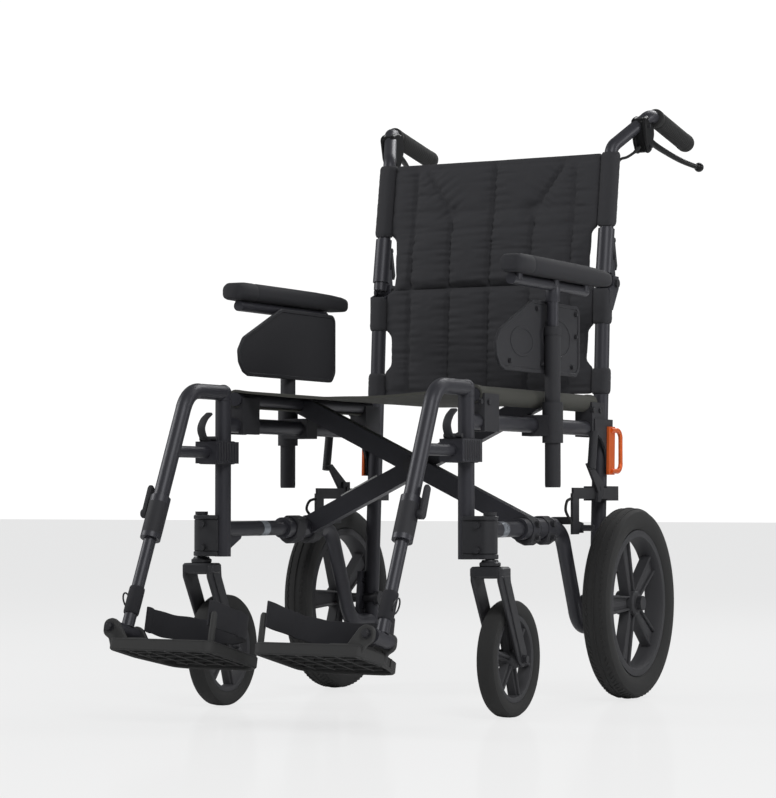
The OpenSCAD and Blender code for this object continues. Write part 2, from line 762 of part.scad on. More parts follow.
arm_post_foot = 346;
arm_post_top = 600;
module skirt_guard() {
  color("#1c1d1f") difference() {
    union() {
      translate([0, arm_post_y, 0]) side_plate(guard_x, guard_t, [
        [-156, guard_z0], [122, guard_z0], [136, guard_z0 + 14], [136, guard_z1], [-50, guard_z1],
        [-172, guard_z0 + 60], [-186, guard_z0 + 40], [-184, guard_z0 + 20], [-172, guard_z0 + 6]
      ]);
      translate([arm_post_x, arm_post_y, arm_post_foot])
        cylinder(d = arm_post_d, h = arm_post_top - arm_post_foot);
    }
    translate([arm_post_x, arm_post_y, arm_post_foot + 4])
      cylinder(d = inner_post_d + 2 * run_gap, h = arm_post_top - arm_post_foot);
  }
}

// ---- Casters ----

fork_t = 5;
fork_in = caster_w / 2 + 4;
crown_z = housing_z - 18;
caster_axle_d = 10;
module caster_fork() {
  color("#2b2d30") {
    difference() {
      union() {
        for (s = [LEFT, RIGHT])
          side_plate(caster_x + s * (fork_in + fork_t / 2) - fork_t / 2, fork_t, [
            [-17, crown_z], [-15, crown_z - 20], [caster_trail - 13, caster_r - 6],
            [caster_trail - 6, caster_r - 26], [caster_trail + 8, caster_r - 26],
            [caster_trail + 14, caster_r], [22, crown_z - 24], [20, crown_z]
          ]);
        translate([caster_x - fork_in - fork_t, -19, crown_z - 10])
          cube([2 * (fork_in + fork_t), 40, 18]);
      }
      x_pin(caster_x - 40, caster_trail, caster_r - 18, 8, 80);
    }
    translate([caster_x, 0, crown_z]) cylinder(d = 26, h = housing_z - crown_z - 0.4);
    translate([caster_x, 0, crown_z]) cylinder(d = stem_d, h = housing_h + housing_z - crown_z - 6);
    x_pin(caster_x - fork_in - fork_t - 3, caster_trail, caster_r, caster_axle_d,
      2 * (fork_in + fork_t) + 6);
    for (s = [LEFT, RIGHT])
      translate([caster_x + s * (fork_in + fork_t + 2), caster_trail, caster_r])
        rotate([0, 90, 0]) cylinder(d = 18, h = 4, center = true);
  }
}

caster_rim_r = caster_r - 20;
module caster_hub() {
  color("#8a8d91") translate([caster_x, caster_trail, caster_r]) rotate([0, 90, 0]) {
    difference() {
      union() {
        wheel_ring(caster_rim_r - 8, caster_rim_r, caster_w - 8);
        cylinder(d = 30, h = 2 * fork_in - 1, center = true);
        for (a = [0:60:300]) rotate([0, 0, a])
          translate([12, -6, -5]) cube([caster_rim_r - 18, 12, 10]);
      }
      cylinder(d = caster_axle_d + 2 * run_gap, h = 80, center = true);
    }
  }
}

module wheel_ring(r0, r1, w) {
  rotate_extrude() translate([r0, -w / 2]) square([r1 - r0, w]);
}

module caster_tyre() {
  r = caster_r;
  w = caster_w;
  color("#17181a") translate([caster_x, caster_trail, caster_r]) rotate([0, 90, 0])
    rotate_extrude() polygon([
      [caster_rim_r + seat_gap, -w / 2 + 3], [r - 9, -w / 2], [r - 3, -w / 2 + 3], [r, -w / 2 + 9],
      [r, w / 2 - 9], [r - 3, w / 2 - 3], [r - 9, w / 2], [caster_rim_r + seat_gap, w / 2 - 3]
    ]);
}

// ---- Rear wheels ----

rim_r = wheel_r - 36;
hub_w = 46;
hub_in = 31;
spokes = 5;
module wheel_rim() {
  color("#6d7074") translate([wheel_x, wheelbase, wheel_r]) rotate([0, 90, 0]) {
    difference() {
      union() {
        wheel_ring(rim_r - 14, rim_r, tyre_w - 10);
        translate([0, 0, -hub_in]) cylinder(d = 50, h = hub_w);
        for (i = [0:spokes - 1]) rotate([0, 0, 360 / spokes * i - 90])
          translate([0, 0, -6]) linear_extrude(16)
            polygon([[16, -11], [rim_r - 8, -17], [rim_r - 8, 17], [16, 11]]);
      }
      cylinder(d = axle_d + 2 * run_gap, h = 120, center = true);
    }
  }
}

module wheel_tyre() {
  section_r = tyre_w / 2;
  color("#17181a") translate([wheel_x, wheelbase, wheel_r]) rotate([0, 90, 0])
    rotate_extrude() difference() {
      translate([wheel_r - section_r, 0]) circle(d = tyre_w);
      translate([0, -tyre_w]) square([rim_r + seat_gap, 2 * tyre_w]);
    }
}

// ---- Leg rests ----

bar_z = 400;
hanger_pin_d = pin_bore - 2 * run_gap;
block_h = 34;
function leg_point(z) = [side_x, leg_y(z), z];
leg_dir = unit(leg_point(0) - leg_point(100));
leg_bore_len = 170;
module hanger() {
  color("#34373b") difference() {
    union() {
      translate([side_x, 0, post_top + 0.5]) cylinder(d = tube_d, h = hanger_z - post_top - 0.5);
      bent_tube([
        [side_x, 0, hanger_z], [side_x, -hanger_reach, hanger_z], leg_point(hanger_end_z)
      ], 48, hanger_d);
      translate([side_x, 0, post_top - pin_depth + 3])
        cylinder(d = hanger_pin_d, h = pin_depth + 2);
      rod(leg_point(hanger_end_z + 62), leg_point(hanger_end_z), hanger_d + 7);
      rod([side_x, -40, bar_z], [side_x, leg_y(bar_z), bar_z], 18);
      difference() {
        translate([side_x - 19, -52, bar_z - block_h / 2]) cube([38, 68, block_h]);
        translate([side_x, 0, bar_z - 30]) cylinder(d = tube_d + 2 * run_gap, h = 60);
      }
      translate([side_x, 0, hanger_z]) sphere(d = hanger_d + 2);
    }
    rod(leg_point(hanger_end_z) + leg_dir * 1, leg_point(hanger_end_z) - leg_dir * leg_bore_len,
      leg_d + 2 * run_gap);
  }
}

module leg_tube() {
  top = leg_point(hanger_end_z) - leg_dir * 105;
  foot = leg_point(foot_pivot_z + 6);
  color("#3d4044") difference() {
    union() {
      rod(top, foot, leg_d);
      translate([side_x, foot_pivot_y, foot_pivot_z]) rotate([-toe_up, 0, 0])
        rod([0, -pivot_len / 2 + 8, 0], [0, pivot_len / 2, 0], 22);
    }
    foot_axis(pivot_len + 40, foot_bolt_d + 2 * run_gap);
  }
}

foot_bolt_d = 10;
// A bar along the footplate's hinge line
module foot_axis(len, d) {
  translate([side_x, foot_pivot_y, foot_pivot_z]) rotate([-toe_up, 0, 0])
    rod([0, -len / 2 + 4, 0], [0, len / 2 + 4, 0], d);
}

// The quick-release lever that clamps the leg tube
lever_z = hanger_end_z + 38;
module length_lever() {
  p = leg_point(lever_z);
  color("#0f1012") {
    translate([side_x + hanger_d / 2 + 4, p[1], p[2]]) rotate([0, 90, 0]) cylinder(d = 14, h = 11);
    side_plate(side_x + hanger_d / 2 + 6, 8, [
      [p[1] - 8, p[2] - 6], [p[1] + 8, p[2] - 8], [p[1] + 26, p[2] + 40], [p[1] + 16, p[2] + 46]
    ]);
  }
}

// The release handle above the lower bar
module hanger_latch() {
  color("#141517") {
    rod([side_x - 16, -44, bar_z + block_h / 2 + 4.4], [side_x + 16, -44, bar_z + block_h / 2 + 4.4],
      8);
    side_plate(side_x - 8, 16, [
      [-40, bar_z + block_h / 2 + 1], [-54, bar_z + block_h / 2 + 2], [-92, bar_z + 58],
      [-84, bar_z + 64], [-38, bar_z + 34]
    ]);
  }
}

// ---- Footplates ----

plate_back = plate_len - plate_front;
ear_wall = 8;
plate_x1 = side_x - 2;
plate_x0 = plate_x1 - plate_w;
foot_clear = 0.5;
module on_foot() {
  translate([0, foot_pivot_y, foot_pivot_z]) rotate([-toe_up, 0, 0]) children();
}

module footplate() {
  color("#202225") on_foot() {
    difference() {
      translate([plate_x0, -plate_front, -plate_drop - plate_t]) cube([plate_w, plate_len, plate_t]);
      for (i = [0:4])
        translate([plate_x0 + 12 + i * (plate_w - 24) / 5 + 2, -plate_front + 10,
          -plate_drop - plate_t - 1]) cube([(plate_w - 24) / 5 - 4, plate_len - 20, plate_t - 4]);
    }
    for (y = [-pivot_len / 2 + 8 - foot_clear - ear_wall, pivot_len / 2 + foot_clear])
      difference() {
        union() {
          translate([side_x - 12, y, -plate_drop - 4]) cube([24, ear_wall, plate_drop + 4]);
          rod([side_x, y, 0], [side_x, y + ear_wall, 0], 24);
        }
        rod([side_x, y - 1, 0], [side_x, y + ear_wall + 1, 0], foot_bolt_d + 2 * seat_gap);
      }
    foot_bolt();
    translate([plate_x0 + 8, -plate_front + 12, -plate_drop - 1])
      cylinder(d = 10, h = plate_drop + 43);
  }
}

module foot_bolt() {
  rod([side_x, -pivot_len / 2 - 6, 0], [side_x, pivot_len / 2 + ear_wall + 6, 0], foot_bolt_d);
}

// The heel strap: a webbing loop from the toe pin round the heel to the leg tube
strap_z = 6;
heel_x0 = plate_x0 + 8 + 5 + soft_gap;
heel_x1 = side_x - leg_d / 2 - soft_gap - strap_t - 4;
heel_r = (heel_x1 - heel_x0 + strap_t) / 2;
heel_y = plate_back - heel_r + 10;
module heel_strap() {
  color("#26272a") on_foot() translate([0, 0, strap_z]) {
    translate([heel_x0, -plate_front + 8, 0]) cube([strap_t, heel_y + plate_front - 8, strap_w]);
    translate([heel_x0 + heel_r, heel_y, 0]) intersection() {
      difference() {
        cylinder(r = heel_r, h = strap_w);
        translate([0, 0, -1]) cylinder(r = heel_r - strap_t, h = strap_w + 2);
      }
      translate([-heel_r - 1, 0, -1]) cube([2 * heel_r + 2, heel_r + 2, strap_w + 2]);
    }
    translate([heel_x1, 30, 0]) cube([strap_t, heel_y - 30, strap_w]);
  }
}

// ---- Left and right copies ----

module left_side_frame() place(LEFT) side_frame();
module right_side_frame() place(RIGHT) side_frame();
module left_caster_housing() place(LEFT) caster_housing();
module right_caster_housing() place(RIGHT) caster_housing();
module left_rail_fittings() place(LEFT) rail_fittings();
module right_rail_fittings() place(RIGHT) rail_fittings();
module left_hardware() place(LEFT) hardware();
module right_hardware() place(RIGHT) hardware();
module left_tie_down() place(LEFT) tie_down();
module right_tie_down() place(RIGHT) tie_down();
module left_lock_mount() place(LEFT) lock_mount();
module right_lock_mount() place(RIGHT) lock_mount();
module left_cane() place(LEFT) cane();
module right_cane() place(RIGHT) cane();
module left_grip() place(LEFT) grip();
module right_grip() place(RIGHT) grip();
module left_back_latch() place(LEFT) back_latch();
module right_back_latch() place(RIGHT) back_latch();
module left_brake_housing() place(LEFT) brake_housing();
module right_brake_housing() place(RIGHT) brake_housing();
module left_brake_lever() place(LEFT) brake_lever();
module right_brake_lever() place(RIGHT) brake_lever();
module left_brake_cable() place(LEFT) brake_cable();
module right_brake_cable() place(RIGHT) brake_cable();
module left_armrest() place(LEFT) armrest(pad_up(LEFT));
module right_armrest() place(RIGHT) armrest(pad_up(RIGHT));
module left_arm_pad() place(LEFT) arm_pad(pad_up(LEFT));
module right_arm_pad() place(RIGHT) arm_pad(pad_up(RIGHT));
module left_skirt_guard() place(LEFT) skirt_guard();
module right_skirt_guard() place(RIGHT) skirt_guard();
module left_caster_fork() place(LEFT) caster_fork();
module right_caster_fork() place(RIGHT) caster_fork();
module left_caster_hub() place(LEFT) caster_hub();
module right_caster_hub() place(RIGHT) caster_hub();
module left_caster_tyre() place(LEFT) caster_tyre();
module right_caster_tyre() place(RIGHT) caster_tyre();
module left_wheel_rim() place(LEFT) wheel_rim();
module right_wheel_rim() place(RIGHT) wheel_rim();
module left_wheel_tyre() place(LEFT) wheel_tyre();
module right_wheel_tyre() place(RIGHT) wheel_tyre();
module left_hanger() place(LEFT) hanger();
module right_hanger() place(RIGHT) hanger();
module left_leg_tube() place(LEFT) leg_tube();
module right_leg_tube() place(RIGHT) leg_tube();
module left_length_lever() place(LEFT) length_lever();
module right_length_lever() place(RIGHT) length_lever();
module left_hanger_latch() place(LEFT) hanger_latch();
module right_hanger_latch() place(RIGHT) hanger_latch();
module left_footplate() place(LEFT) footplate();
module right_footplate() place(RIGHT) footplate();
module left_heel_strap() place(LEFT) heel_strap();
module right_heel_strap() place(RIGHT) heel_strap();
module left_lock_lever() place(LEFT) lock_lever();
module right_lock_lever() place(RIGHT) lock_lever();

left_side_frame();
left_caster_housing();
left_rail_fittings();
left_hardware();
left_tie_down();
left_lock_mount();
right_side_frame();
right_caster_housing();
right_rail_fittings();
right_hardware();
right_tie_down();
right_lock_mount();
place() cross_arm_front();
place() cross_arm_rear();
place() cross_pivot();
place() seat_sling();
left_cane();
left_grip();
left_back_latch();
left_brake_housing();
left_brake_lever();
left_brake_cable();
right_cane();
right_grip();
right_back_latch();
right_brake_housing();
right_brake_lever();
right_brake_cable();
place() back_upper();
place() back_lower();
left_armrest();
left_arm_pad();
left_skirt_guard();
right_armrest();
right_arm_pad();
right_skirt_guard();
left_caster_fork();
left_caster_hub();
left_caster_tyre();
right_caster_fork();
right_caster_hub();
right_caster_tyre();
left_wheel_rim();
left_wheel_tyre();
right_wheel_rim();
right_wheel_tyre();
left_hanger();
left_leg_tube();
left_length_lever();
left_hanger_latch();
right_hanger();
right_leg_tube();
right_length_lever();
right_hanger_latch();
left_footplate();
left_heel_strap();
right_footplate();
right_heel_strap();
left_lock_lever();
right_lock_lever();
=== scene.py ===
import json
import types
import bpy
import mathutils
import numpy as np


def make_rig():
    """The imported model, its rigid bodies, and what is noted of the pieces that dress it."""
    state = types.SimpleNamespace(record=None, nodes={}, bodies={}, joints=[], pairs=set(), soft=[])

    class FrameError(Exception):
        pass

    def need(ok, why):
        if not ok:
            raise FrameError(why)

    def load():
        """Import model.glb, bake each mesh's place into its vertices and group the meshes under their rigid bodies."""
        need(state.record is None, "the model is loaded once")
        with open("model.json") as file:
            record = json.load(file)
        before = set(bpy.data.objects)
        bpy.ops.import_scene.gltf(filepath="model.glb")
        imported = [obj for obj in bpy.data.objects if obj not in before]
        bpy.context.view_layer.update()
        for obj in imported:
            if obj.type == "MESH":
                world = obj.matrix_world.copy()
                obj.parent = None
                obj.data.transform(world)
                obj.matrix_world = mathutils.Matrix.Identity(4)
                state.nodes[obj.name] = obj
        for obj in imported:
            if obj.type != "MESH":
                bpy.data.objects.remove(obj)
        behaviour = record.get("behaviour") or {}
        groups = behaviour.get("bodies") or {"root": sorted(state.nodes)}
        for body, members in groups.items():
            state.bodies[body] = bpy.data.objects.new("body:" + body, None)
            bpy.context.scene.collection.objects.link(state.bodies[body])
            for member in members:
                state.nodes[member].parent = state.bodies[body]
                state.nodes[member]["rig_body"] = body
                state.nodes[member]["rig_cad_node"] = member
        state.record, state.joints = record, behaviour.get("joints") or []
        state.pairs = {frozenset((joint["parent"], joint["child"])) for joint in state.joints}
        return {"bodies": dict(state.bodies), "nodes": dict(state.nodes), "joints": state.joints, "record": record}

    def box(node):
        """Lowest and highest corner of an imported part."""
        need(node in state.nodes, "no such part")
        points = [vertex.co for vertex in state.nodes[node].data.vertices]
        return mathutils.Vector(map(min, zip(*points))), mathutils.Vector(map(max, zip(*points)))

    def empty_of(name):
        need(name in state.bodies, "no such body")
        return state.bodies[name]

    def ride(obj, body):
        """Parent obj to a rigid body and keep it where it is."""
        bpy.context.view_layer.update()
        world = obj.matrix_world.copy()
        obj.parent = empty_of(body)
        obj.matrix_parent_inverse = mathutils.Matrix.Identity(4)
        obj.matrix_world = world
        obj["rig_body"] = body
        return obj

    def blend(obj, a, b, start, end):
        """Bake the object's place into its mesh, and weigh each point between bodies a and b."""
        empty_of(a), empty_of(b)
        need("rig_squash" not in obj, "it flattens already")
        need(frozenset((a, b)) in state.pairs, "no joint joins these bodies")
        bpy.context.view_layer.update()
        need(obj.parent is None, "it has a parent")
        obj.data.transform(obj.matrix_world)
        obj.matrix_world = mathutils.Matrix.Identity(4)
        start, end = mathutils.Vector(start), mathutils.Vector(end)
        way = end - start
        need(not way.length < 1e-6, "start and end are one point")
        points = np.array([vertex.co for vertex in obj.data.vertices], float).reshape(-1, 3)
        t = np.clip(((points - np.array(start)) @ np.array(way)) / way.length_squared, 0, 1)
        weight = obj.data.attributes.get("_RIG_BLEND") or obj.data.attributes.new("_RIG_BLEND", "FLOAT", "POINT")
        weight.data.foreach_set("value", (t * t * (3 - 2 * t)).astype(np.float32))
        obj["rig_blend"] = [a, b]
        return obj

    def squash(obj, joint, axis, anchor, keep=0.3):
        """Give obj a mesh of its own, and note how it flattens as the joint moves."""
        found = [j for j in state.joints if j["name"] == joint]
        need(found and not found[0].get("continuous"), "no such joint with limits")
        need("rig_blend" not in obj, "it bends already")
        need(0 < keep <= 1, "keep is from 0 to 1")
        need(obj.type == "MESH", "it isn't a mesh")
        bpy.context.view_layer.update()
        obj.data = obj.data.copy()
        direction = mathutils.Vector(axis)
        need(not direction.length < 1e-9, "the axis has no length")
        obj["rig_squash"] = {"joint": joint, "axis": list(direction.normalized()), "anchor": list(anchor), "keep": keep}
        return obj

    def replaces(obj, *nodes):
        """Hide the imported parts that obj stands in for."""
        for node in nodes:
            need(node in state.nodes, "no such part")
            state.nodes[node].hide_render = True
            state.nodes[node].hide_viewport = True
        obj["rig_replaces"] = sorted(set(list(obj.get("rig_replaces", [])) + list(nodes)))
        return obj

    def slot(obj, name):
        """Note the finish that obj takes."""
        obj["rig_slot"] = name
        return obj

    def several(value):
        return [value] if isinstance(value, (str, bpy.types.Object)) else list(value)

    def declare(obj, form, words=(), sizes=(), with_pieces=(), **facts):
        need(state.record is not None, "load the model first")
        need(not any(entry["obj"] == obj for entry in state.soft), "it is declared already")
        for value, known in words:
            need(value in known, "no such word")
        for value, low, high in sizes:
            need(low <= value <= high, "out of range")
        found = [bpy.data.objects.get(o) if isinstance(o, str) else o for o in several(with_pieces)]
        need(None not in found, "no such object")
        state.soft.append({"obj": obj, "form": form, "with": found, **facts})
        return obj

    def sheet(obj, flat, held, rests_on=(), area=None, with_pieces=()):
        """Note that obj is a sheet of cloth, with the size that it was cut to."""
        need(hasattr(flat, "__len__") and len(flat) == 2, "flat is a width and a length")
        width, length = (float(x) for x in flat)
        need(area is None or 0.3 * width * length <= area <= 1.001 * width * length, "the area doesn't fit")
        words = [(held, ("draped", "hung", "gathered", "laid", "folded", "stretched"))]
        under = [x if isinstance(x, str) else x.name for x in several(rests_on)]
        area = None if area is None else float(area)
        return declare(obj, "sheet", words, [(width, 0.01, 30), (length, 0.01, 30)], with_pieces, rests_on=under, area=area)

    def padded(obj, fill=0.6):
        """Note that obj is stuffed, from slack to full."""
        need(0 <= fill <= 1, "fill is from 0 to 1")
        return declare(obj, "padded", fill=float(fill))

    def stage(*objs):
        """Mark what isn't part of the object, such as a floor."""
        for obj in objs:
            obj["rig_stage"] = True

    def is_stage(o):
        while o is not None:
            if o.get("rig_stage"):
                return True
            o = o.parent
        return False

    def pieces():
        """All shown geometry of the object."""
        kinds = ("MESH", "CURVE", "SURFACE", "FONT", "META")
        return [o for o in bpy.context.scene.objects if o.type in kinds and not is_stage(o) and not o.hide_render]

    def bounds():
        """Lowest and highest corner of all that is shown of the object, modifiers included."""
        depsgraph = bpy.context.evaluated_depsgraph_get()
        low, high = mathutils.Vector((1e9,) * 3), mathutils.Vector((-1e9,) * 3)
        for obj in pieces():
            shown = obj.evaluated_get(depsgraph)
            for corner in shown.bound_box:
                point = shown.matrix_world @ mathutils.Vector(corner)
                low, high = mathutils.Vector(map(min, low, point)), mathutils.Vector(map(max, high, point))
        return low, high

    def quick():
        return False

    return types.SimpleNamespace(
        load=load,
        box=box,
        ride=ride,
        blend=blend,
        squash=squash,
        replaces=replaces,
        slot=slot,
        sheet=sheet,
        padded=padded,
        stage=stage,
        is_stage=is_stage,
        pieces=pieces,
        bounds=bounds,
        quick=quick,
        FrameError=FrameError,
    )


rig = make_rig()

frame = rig.load()

import json
import math
import random

import bmesh
import bpy
import numpy as np
from bpy.props import FloatProperty, FloatVectorProperty, IntProperty, PointerProperty
from mathutils import Matrix, Vector, geometry, noise

bl_info = {
    "name": "Folding transit wheelchair",
    "version": (1, 0, 0),
    "blender": (4, 5, 0),
    "location": "View3D > Sidebar > Wheelchair",
    "description": "Builds the chair's upholstery, mouldings, wheels and finishes around its frame",
    "category": "Add Mesh",
}

SIZE_FILE = "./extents.json"
CAD_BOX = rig.bounds()
SIDES = (("left", 1), ("right", -1))
MM = 0.001
TAU = 2 * math.pi


def middle(node):
    """A node's middle in millimetres, with y measured back from the front posts."""
    low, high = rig.box(node)
    return (low + high) / 2 / MM - Vector((0, POST_Y, 0))


# Places in millimetres, left side: x out from the middle, y back from the front posts, z up
POST_Y = 0.0
POST_Y = middle("left_caster_housing").y
SIDE_X = middle("left_leg_tube").x
WHEEL = middle("left_wheel_tyre")
WHEEL_R = WHEEL.z
CASTER = middle("left_caster_tyre")
CASTER_R = CASTER.z
PAD_LOW, PAD_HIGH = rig.box("left_arm_pad")
PAD_DROP = middle("left_arm_pad").z - middle("right_arm_pad").z
LOWER_RAIL_Z = 281
UPPER_RAIL_Z = 444
SEAT_RAIL_X, SEAT_RAIL_Z, SEAT_RAIL_R = 208, 485, 11
BACK_HINGE_Z = 690
BACK_TOP_Z = 919
HANGER_Z = 494
LEG_ANGLE = math.radians(25.4)
FOOT_PIVOT = Vector((SIDE_X, -282.8, 134))
TOE_UP = math.radians(13)
ARM_POST = Vector((239.4, 256, 0))
PAD_Z = PAD_LOW.z / MM


def post_y(z):
    """Where the rear post's line is at a height."""
    return 501 + (z - 157) * math.tan(math.radians(3.4))


def cane_y(z):
    """Where the upper cane's line is at a height."""
    return post_y(BACK_HINGE_Z) + (z - BACK_HINGE_Z) * math.tan(math.radians(9.2))


def leg_point(z, x=0.0):
    """The leg tube's middle at a height, and x further out."""
    return Vector((SIDE_X + x, -121 - (458 - z) * math.tan(LEG_ANGLE), z))


def on_foot(x, y, z):
    """A point given from the footplate's hinge, with the plate tipped up at the toe."""
    c, s = math.cos(TOE_UP), math.sin(TOE_UP)
    return Vector((x, FOOT_PIVOT.y + y * c + z * s, FOOT_PIVOT.z - y * s + z * c))


# ---- Outlines and paths ----


def pill(width, height, radius, steps=4):
    """A rounded rectangle about the middle."""
    radius = min(radius, width / 2 - 0.01, height / 2 - 0.01)
    corners = ((1, 1), (-1, 1), (-1, -1), (1, -1))
    return [
        (sx * (width / 2 - radius) + radius * math.cos(a), sy * (height / 2 - radius) + radius * math.sin(a))
        for quarter, (sx, sy) in enumerate(corners)
        for a in (math.pi / 2 * (quarter + i / steps) for i in range(steps + 1))
    ]


def circle(radius, steps=24, at=(0, 0)):
    """A round outline."""
    return [
        (at[0] + radius * math.cos(TAU * i / steps), at[1] + radius * math.sin(TAU * i / steps))
        for i in range(steps)
    ]


def rounded(points, radius, steps=5):
    """A closed outline with its corners rounded. A third number in a point is its own radius."""
    out = []
    for i, point in enumerate(points):
        r = point[2] if len(point) > 2 else radius
        a, b, c = (Vector(points[j][:2]) for j in (i - 1, i, (i + 1) % len(points)))
        u, v = (a - b), (c - b)
        half = u.angle(v) / 2
        if r <= 0 or half > 1.54:
            out.append(tuple(b))
            continue
        cut = min(r / math.tan(half), 0.48 * u.length, 0.48 * v.length)
        r = cut * math.tan(half)
        u.normalize()
        v.normalize()
        centre = b + (u + v).normalized() * (r / math.sin(half))
        start, end = b + u * cut - centre, b + v * cut - centre
        t0 = math.atan2(start.y, start.x)
        turn = (math.atan2(end.y, end.x) - t0 + math.pi) % TAU - math.pi
        for k in range(steps + 1):
            t = t0 + turn * k / steps
            out.append((centre.x + r * math.cos(t), centre.y + r * math.sin(t)))
    return out


def inset(loop, amount):
    """A loop moved to its left by an amount."""
    out = []
    for i, point in enumerate(loop):
        a, b, c = (Vector(loop[j]) for j in (i - 1, i, (i + 1) % len(loop)))
        n1 = Vector((a.y - b.y, b.x - a.x)).normalized()
        n2 = Vector((b.y - c.y, c.x - b.x)).normalized()
        out.append(tuple(b + (n1 + n2) * (amount / max(1 + n1.dot(n2), 0.3))))
    return out


def turned(loop, anticlockwise=True):
    """A loop running the way asked for."""
    area = sum(a[0] * b[1] - b[0] * a[1] for a, b in zip(loop, loop[1:] + loop[:1]))
    return list(loop) if (area > 0) == anticlockwise else list(loop)[::-1]


def bent(points, radius, steps=8):
    """A path through points with its corners rounded."""
    out = [Vector(points[0])]
    for a, b, c in zip(points, points[1:], points[2:]):
        a, b, c = Vector(a), Vector(b), Vector(c)
        u, v = (b - a).normalized(), (c - b).normalized()
        angle = u.angle(v)
        if angle < 0.02:
            continue
        cut = min(radius * math.tan(angle / 2), 0.48 * (b - a).length, 0.48 * (c - b).length)
        r = cut / math.tan(angle / 2)
        n = (v - u * u.dot(v)).normalized()
        centre = b - u * cut + n * r
        for i in range(steps + 1):
            t = angle * i / steps
            out.append(centre + (u * math.sin(t) - n * math.cos(t)) * r)
    out.append(Vector(points[-1]))
    return out


def smooth_path(points, steps=6):
    """A smooth curve through points."""
    pts = [Vector(p) for p in points]
    pts = [2 * pts[0] - pts[1]] + pts + [2 * pts[-1] - pts[-2]]
    out = []
    for a, b, c, d in zip(pts, pts[1:], pts[2:], pts[3:]):
        for i in range(steps):
            t = i / steps
            out.append(
                0.5 * (2 * b + (c - a) * t + (2 * a - 5 * b + 4 * c - d) * t * t + (3 * b - a - 3 * c + d) * t**3)
            )
    return out + [pts[-2]]


def frames(path, up=None):
    """Each point of a path with two directions across it. A given up is held all the way."""
    path = [Vector(p) for p in path]
    last = len(path) - 1
    across, out = None, []
    for i, p in enumerate(path):
        t = (path[min(i + 1, last)] - path[max(i - 1, 0)]).normalized()
        a = Vector(up) if up else (across or t.orthogonal())
        across = (a - t * a.dot(t)).normalized()
        out.append((p, across, t.cross(across)))
    return out


class Shape:
    """A mesh in the making, in millimetres on the left side of the chair."""

    def __init__(self):
        self.bm = bmesh.new()

    def faces(self, points, loops, mat=0):
        """Adds points and the faces that join them."""
        verts = [self.bm.verts.new(p) for p in points]
        for loop in loops:
            if len(set(loop)) > 2:
                self.bm.faces.new([verts[i] for i in loop]).material_index = mat
        return self

    def rings(self, rings, mat=0, caps=True, closed=False):
        """Joins rings of equal length, end to end or right round."""
        n, count = len(rings[0]), len(rings)
        loops = [
            (i * n + k, i * n + (k + 1) % n, (i + 1) % count * n + (k + 1) % n, (i + 1) % count * n + k)
            for i in range(count if closed else count - 1)
            for k in range(n)
        ]
        if caps and not closed:
            loops += [tuple(range(n))[::-1], tuple(range((count - 1) * n, count * n))]
        return self.faces([p for ring in rings for p in ring], loops, mat)

    def sweep(self, path, section, up=None, sizes=None, mat=0, closed=False):
        """Carries a section along a path. Sizes scale it at each point."""
        sizes = sizes or [1] * len(path)
        rings = []
        for (p, a, b), s in zip(frames(path, up), sizes):
            sa, sb = s if isinstance(s, tuple) else (s, s)
            rings.append([p + a * (x * sa) + b * (y * sb) for x, y in section])
        return self.rings(rings, mat, closed=closed)

    def tube(self, path, radius, sides=24, mat=0):
        """A round bar along a path, with one radius or one for each point."""
        if isinstance(radius, (int, float)):
            radius = [radius] * len(path)
        return self.sweep(path, circle(1, sides), sizes=list(radius), mat=mat)

    def slab(self, outline, low, high, axis="x", bevel=1.0, holes=(), mat=0, place=None):
        """A flat outline given thickness along an axis, its rims chamfered."""
        if place is None:
            order = {"x": (2, 0, 1), "y": (0, 2, 1), "z": (0, 1, 2)}[axis]
            place = lambda u, v, w: tuple((u, v, w)[i] for i in order)
        loops = [turned(outline)] + [turned(hole, False) for hole in holes]
        levels = ((low, bevel), (low + bevel, 0), (high - bevel, 0), (high, bevel))
        for loop in loops:
            self.rings([[place(*p, w) for p in inset(loop, b)] for w, b in levels], mat, caps=False)
        flat = [[Vector((*p, 0)) for p in inset(loop, bevel)] for loop in loops]
        triangles = geometry.tessellate_polygon(flat)
        for w in (low, high):
            self.faces([place(p.x, p.y, w) for loop in flat for p in loop], triangles, mat)
        return self

    def lathe(self, profile, centre, axis=(1, 0, 0), steps=48, mat=0):
        """Turns (radius, distance) points about an axis. It closes on itself unless it starts at radius 0."""
        axis = Vector(axis).normalized()
        a = axis.orthogonal().normalized()
        b = axis.cross(a)
        rings = [
            [Vector(centre) + axis * d + (a * x + b * y) * r for x, y in circle(1, steps)]
            for r, d in profile
        ]
        return self.rings(rings, mat, caps=False, closed=profile[0][0] > 0)

    def done(self, name, side, body, slot, looks, replaces=(), sharp=35, ride=True):
        """Makes the object on its side of the chair and lets it ride its body."""
        bm = self.bm
        bmesh.ops.remove_doubles(bm, verts=bm.verts, dist=2e-3)
        bm.transform(Matrix.Diagonal((side * MM, MM, MM, 1)) @ Matrix.Translation((0, POST_Y, 0)))
        bmesh.ops.recalc_face_normals(bm, faces=bm.faces)
        mesh = bpy.data.meshes.new(name)
        bm.to_mesh(mesh)
        bm.free()
        mesh.shade_smooth()
        mesh.set_sharp_from_angle(angle=math.radians(sharp))
        return settle(mesh, name, body, slot, looks, replaces, ride)


def settle(mesh, name, body, slot, looks, replaces=(), ride=True):
    """Links a finished mesh as a piece with its looks, body, slot and the nodes it stands for."""
    obj = bpy.data.objects.new(name, mesh)
    bpy.context.scene.collection.objects.link(obj)
    if not mesh.materials:
        for look in looks:
            mesh.materials.append(bpy.data.materials[look])
    if ride:
        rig.ride(obj, body)
    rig.slot(obj, slot)
    if replaces:
        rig.replaces(obj, *replaces)
    return obj


# ---- Nodes ----


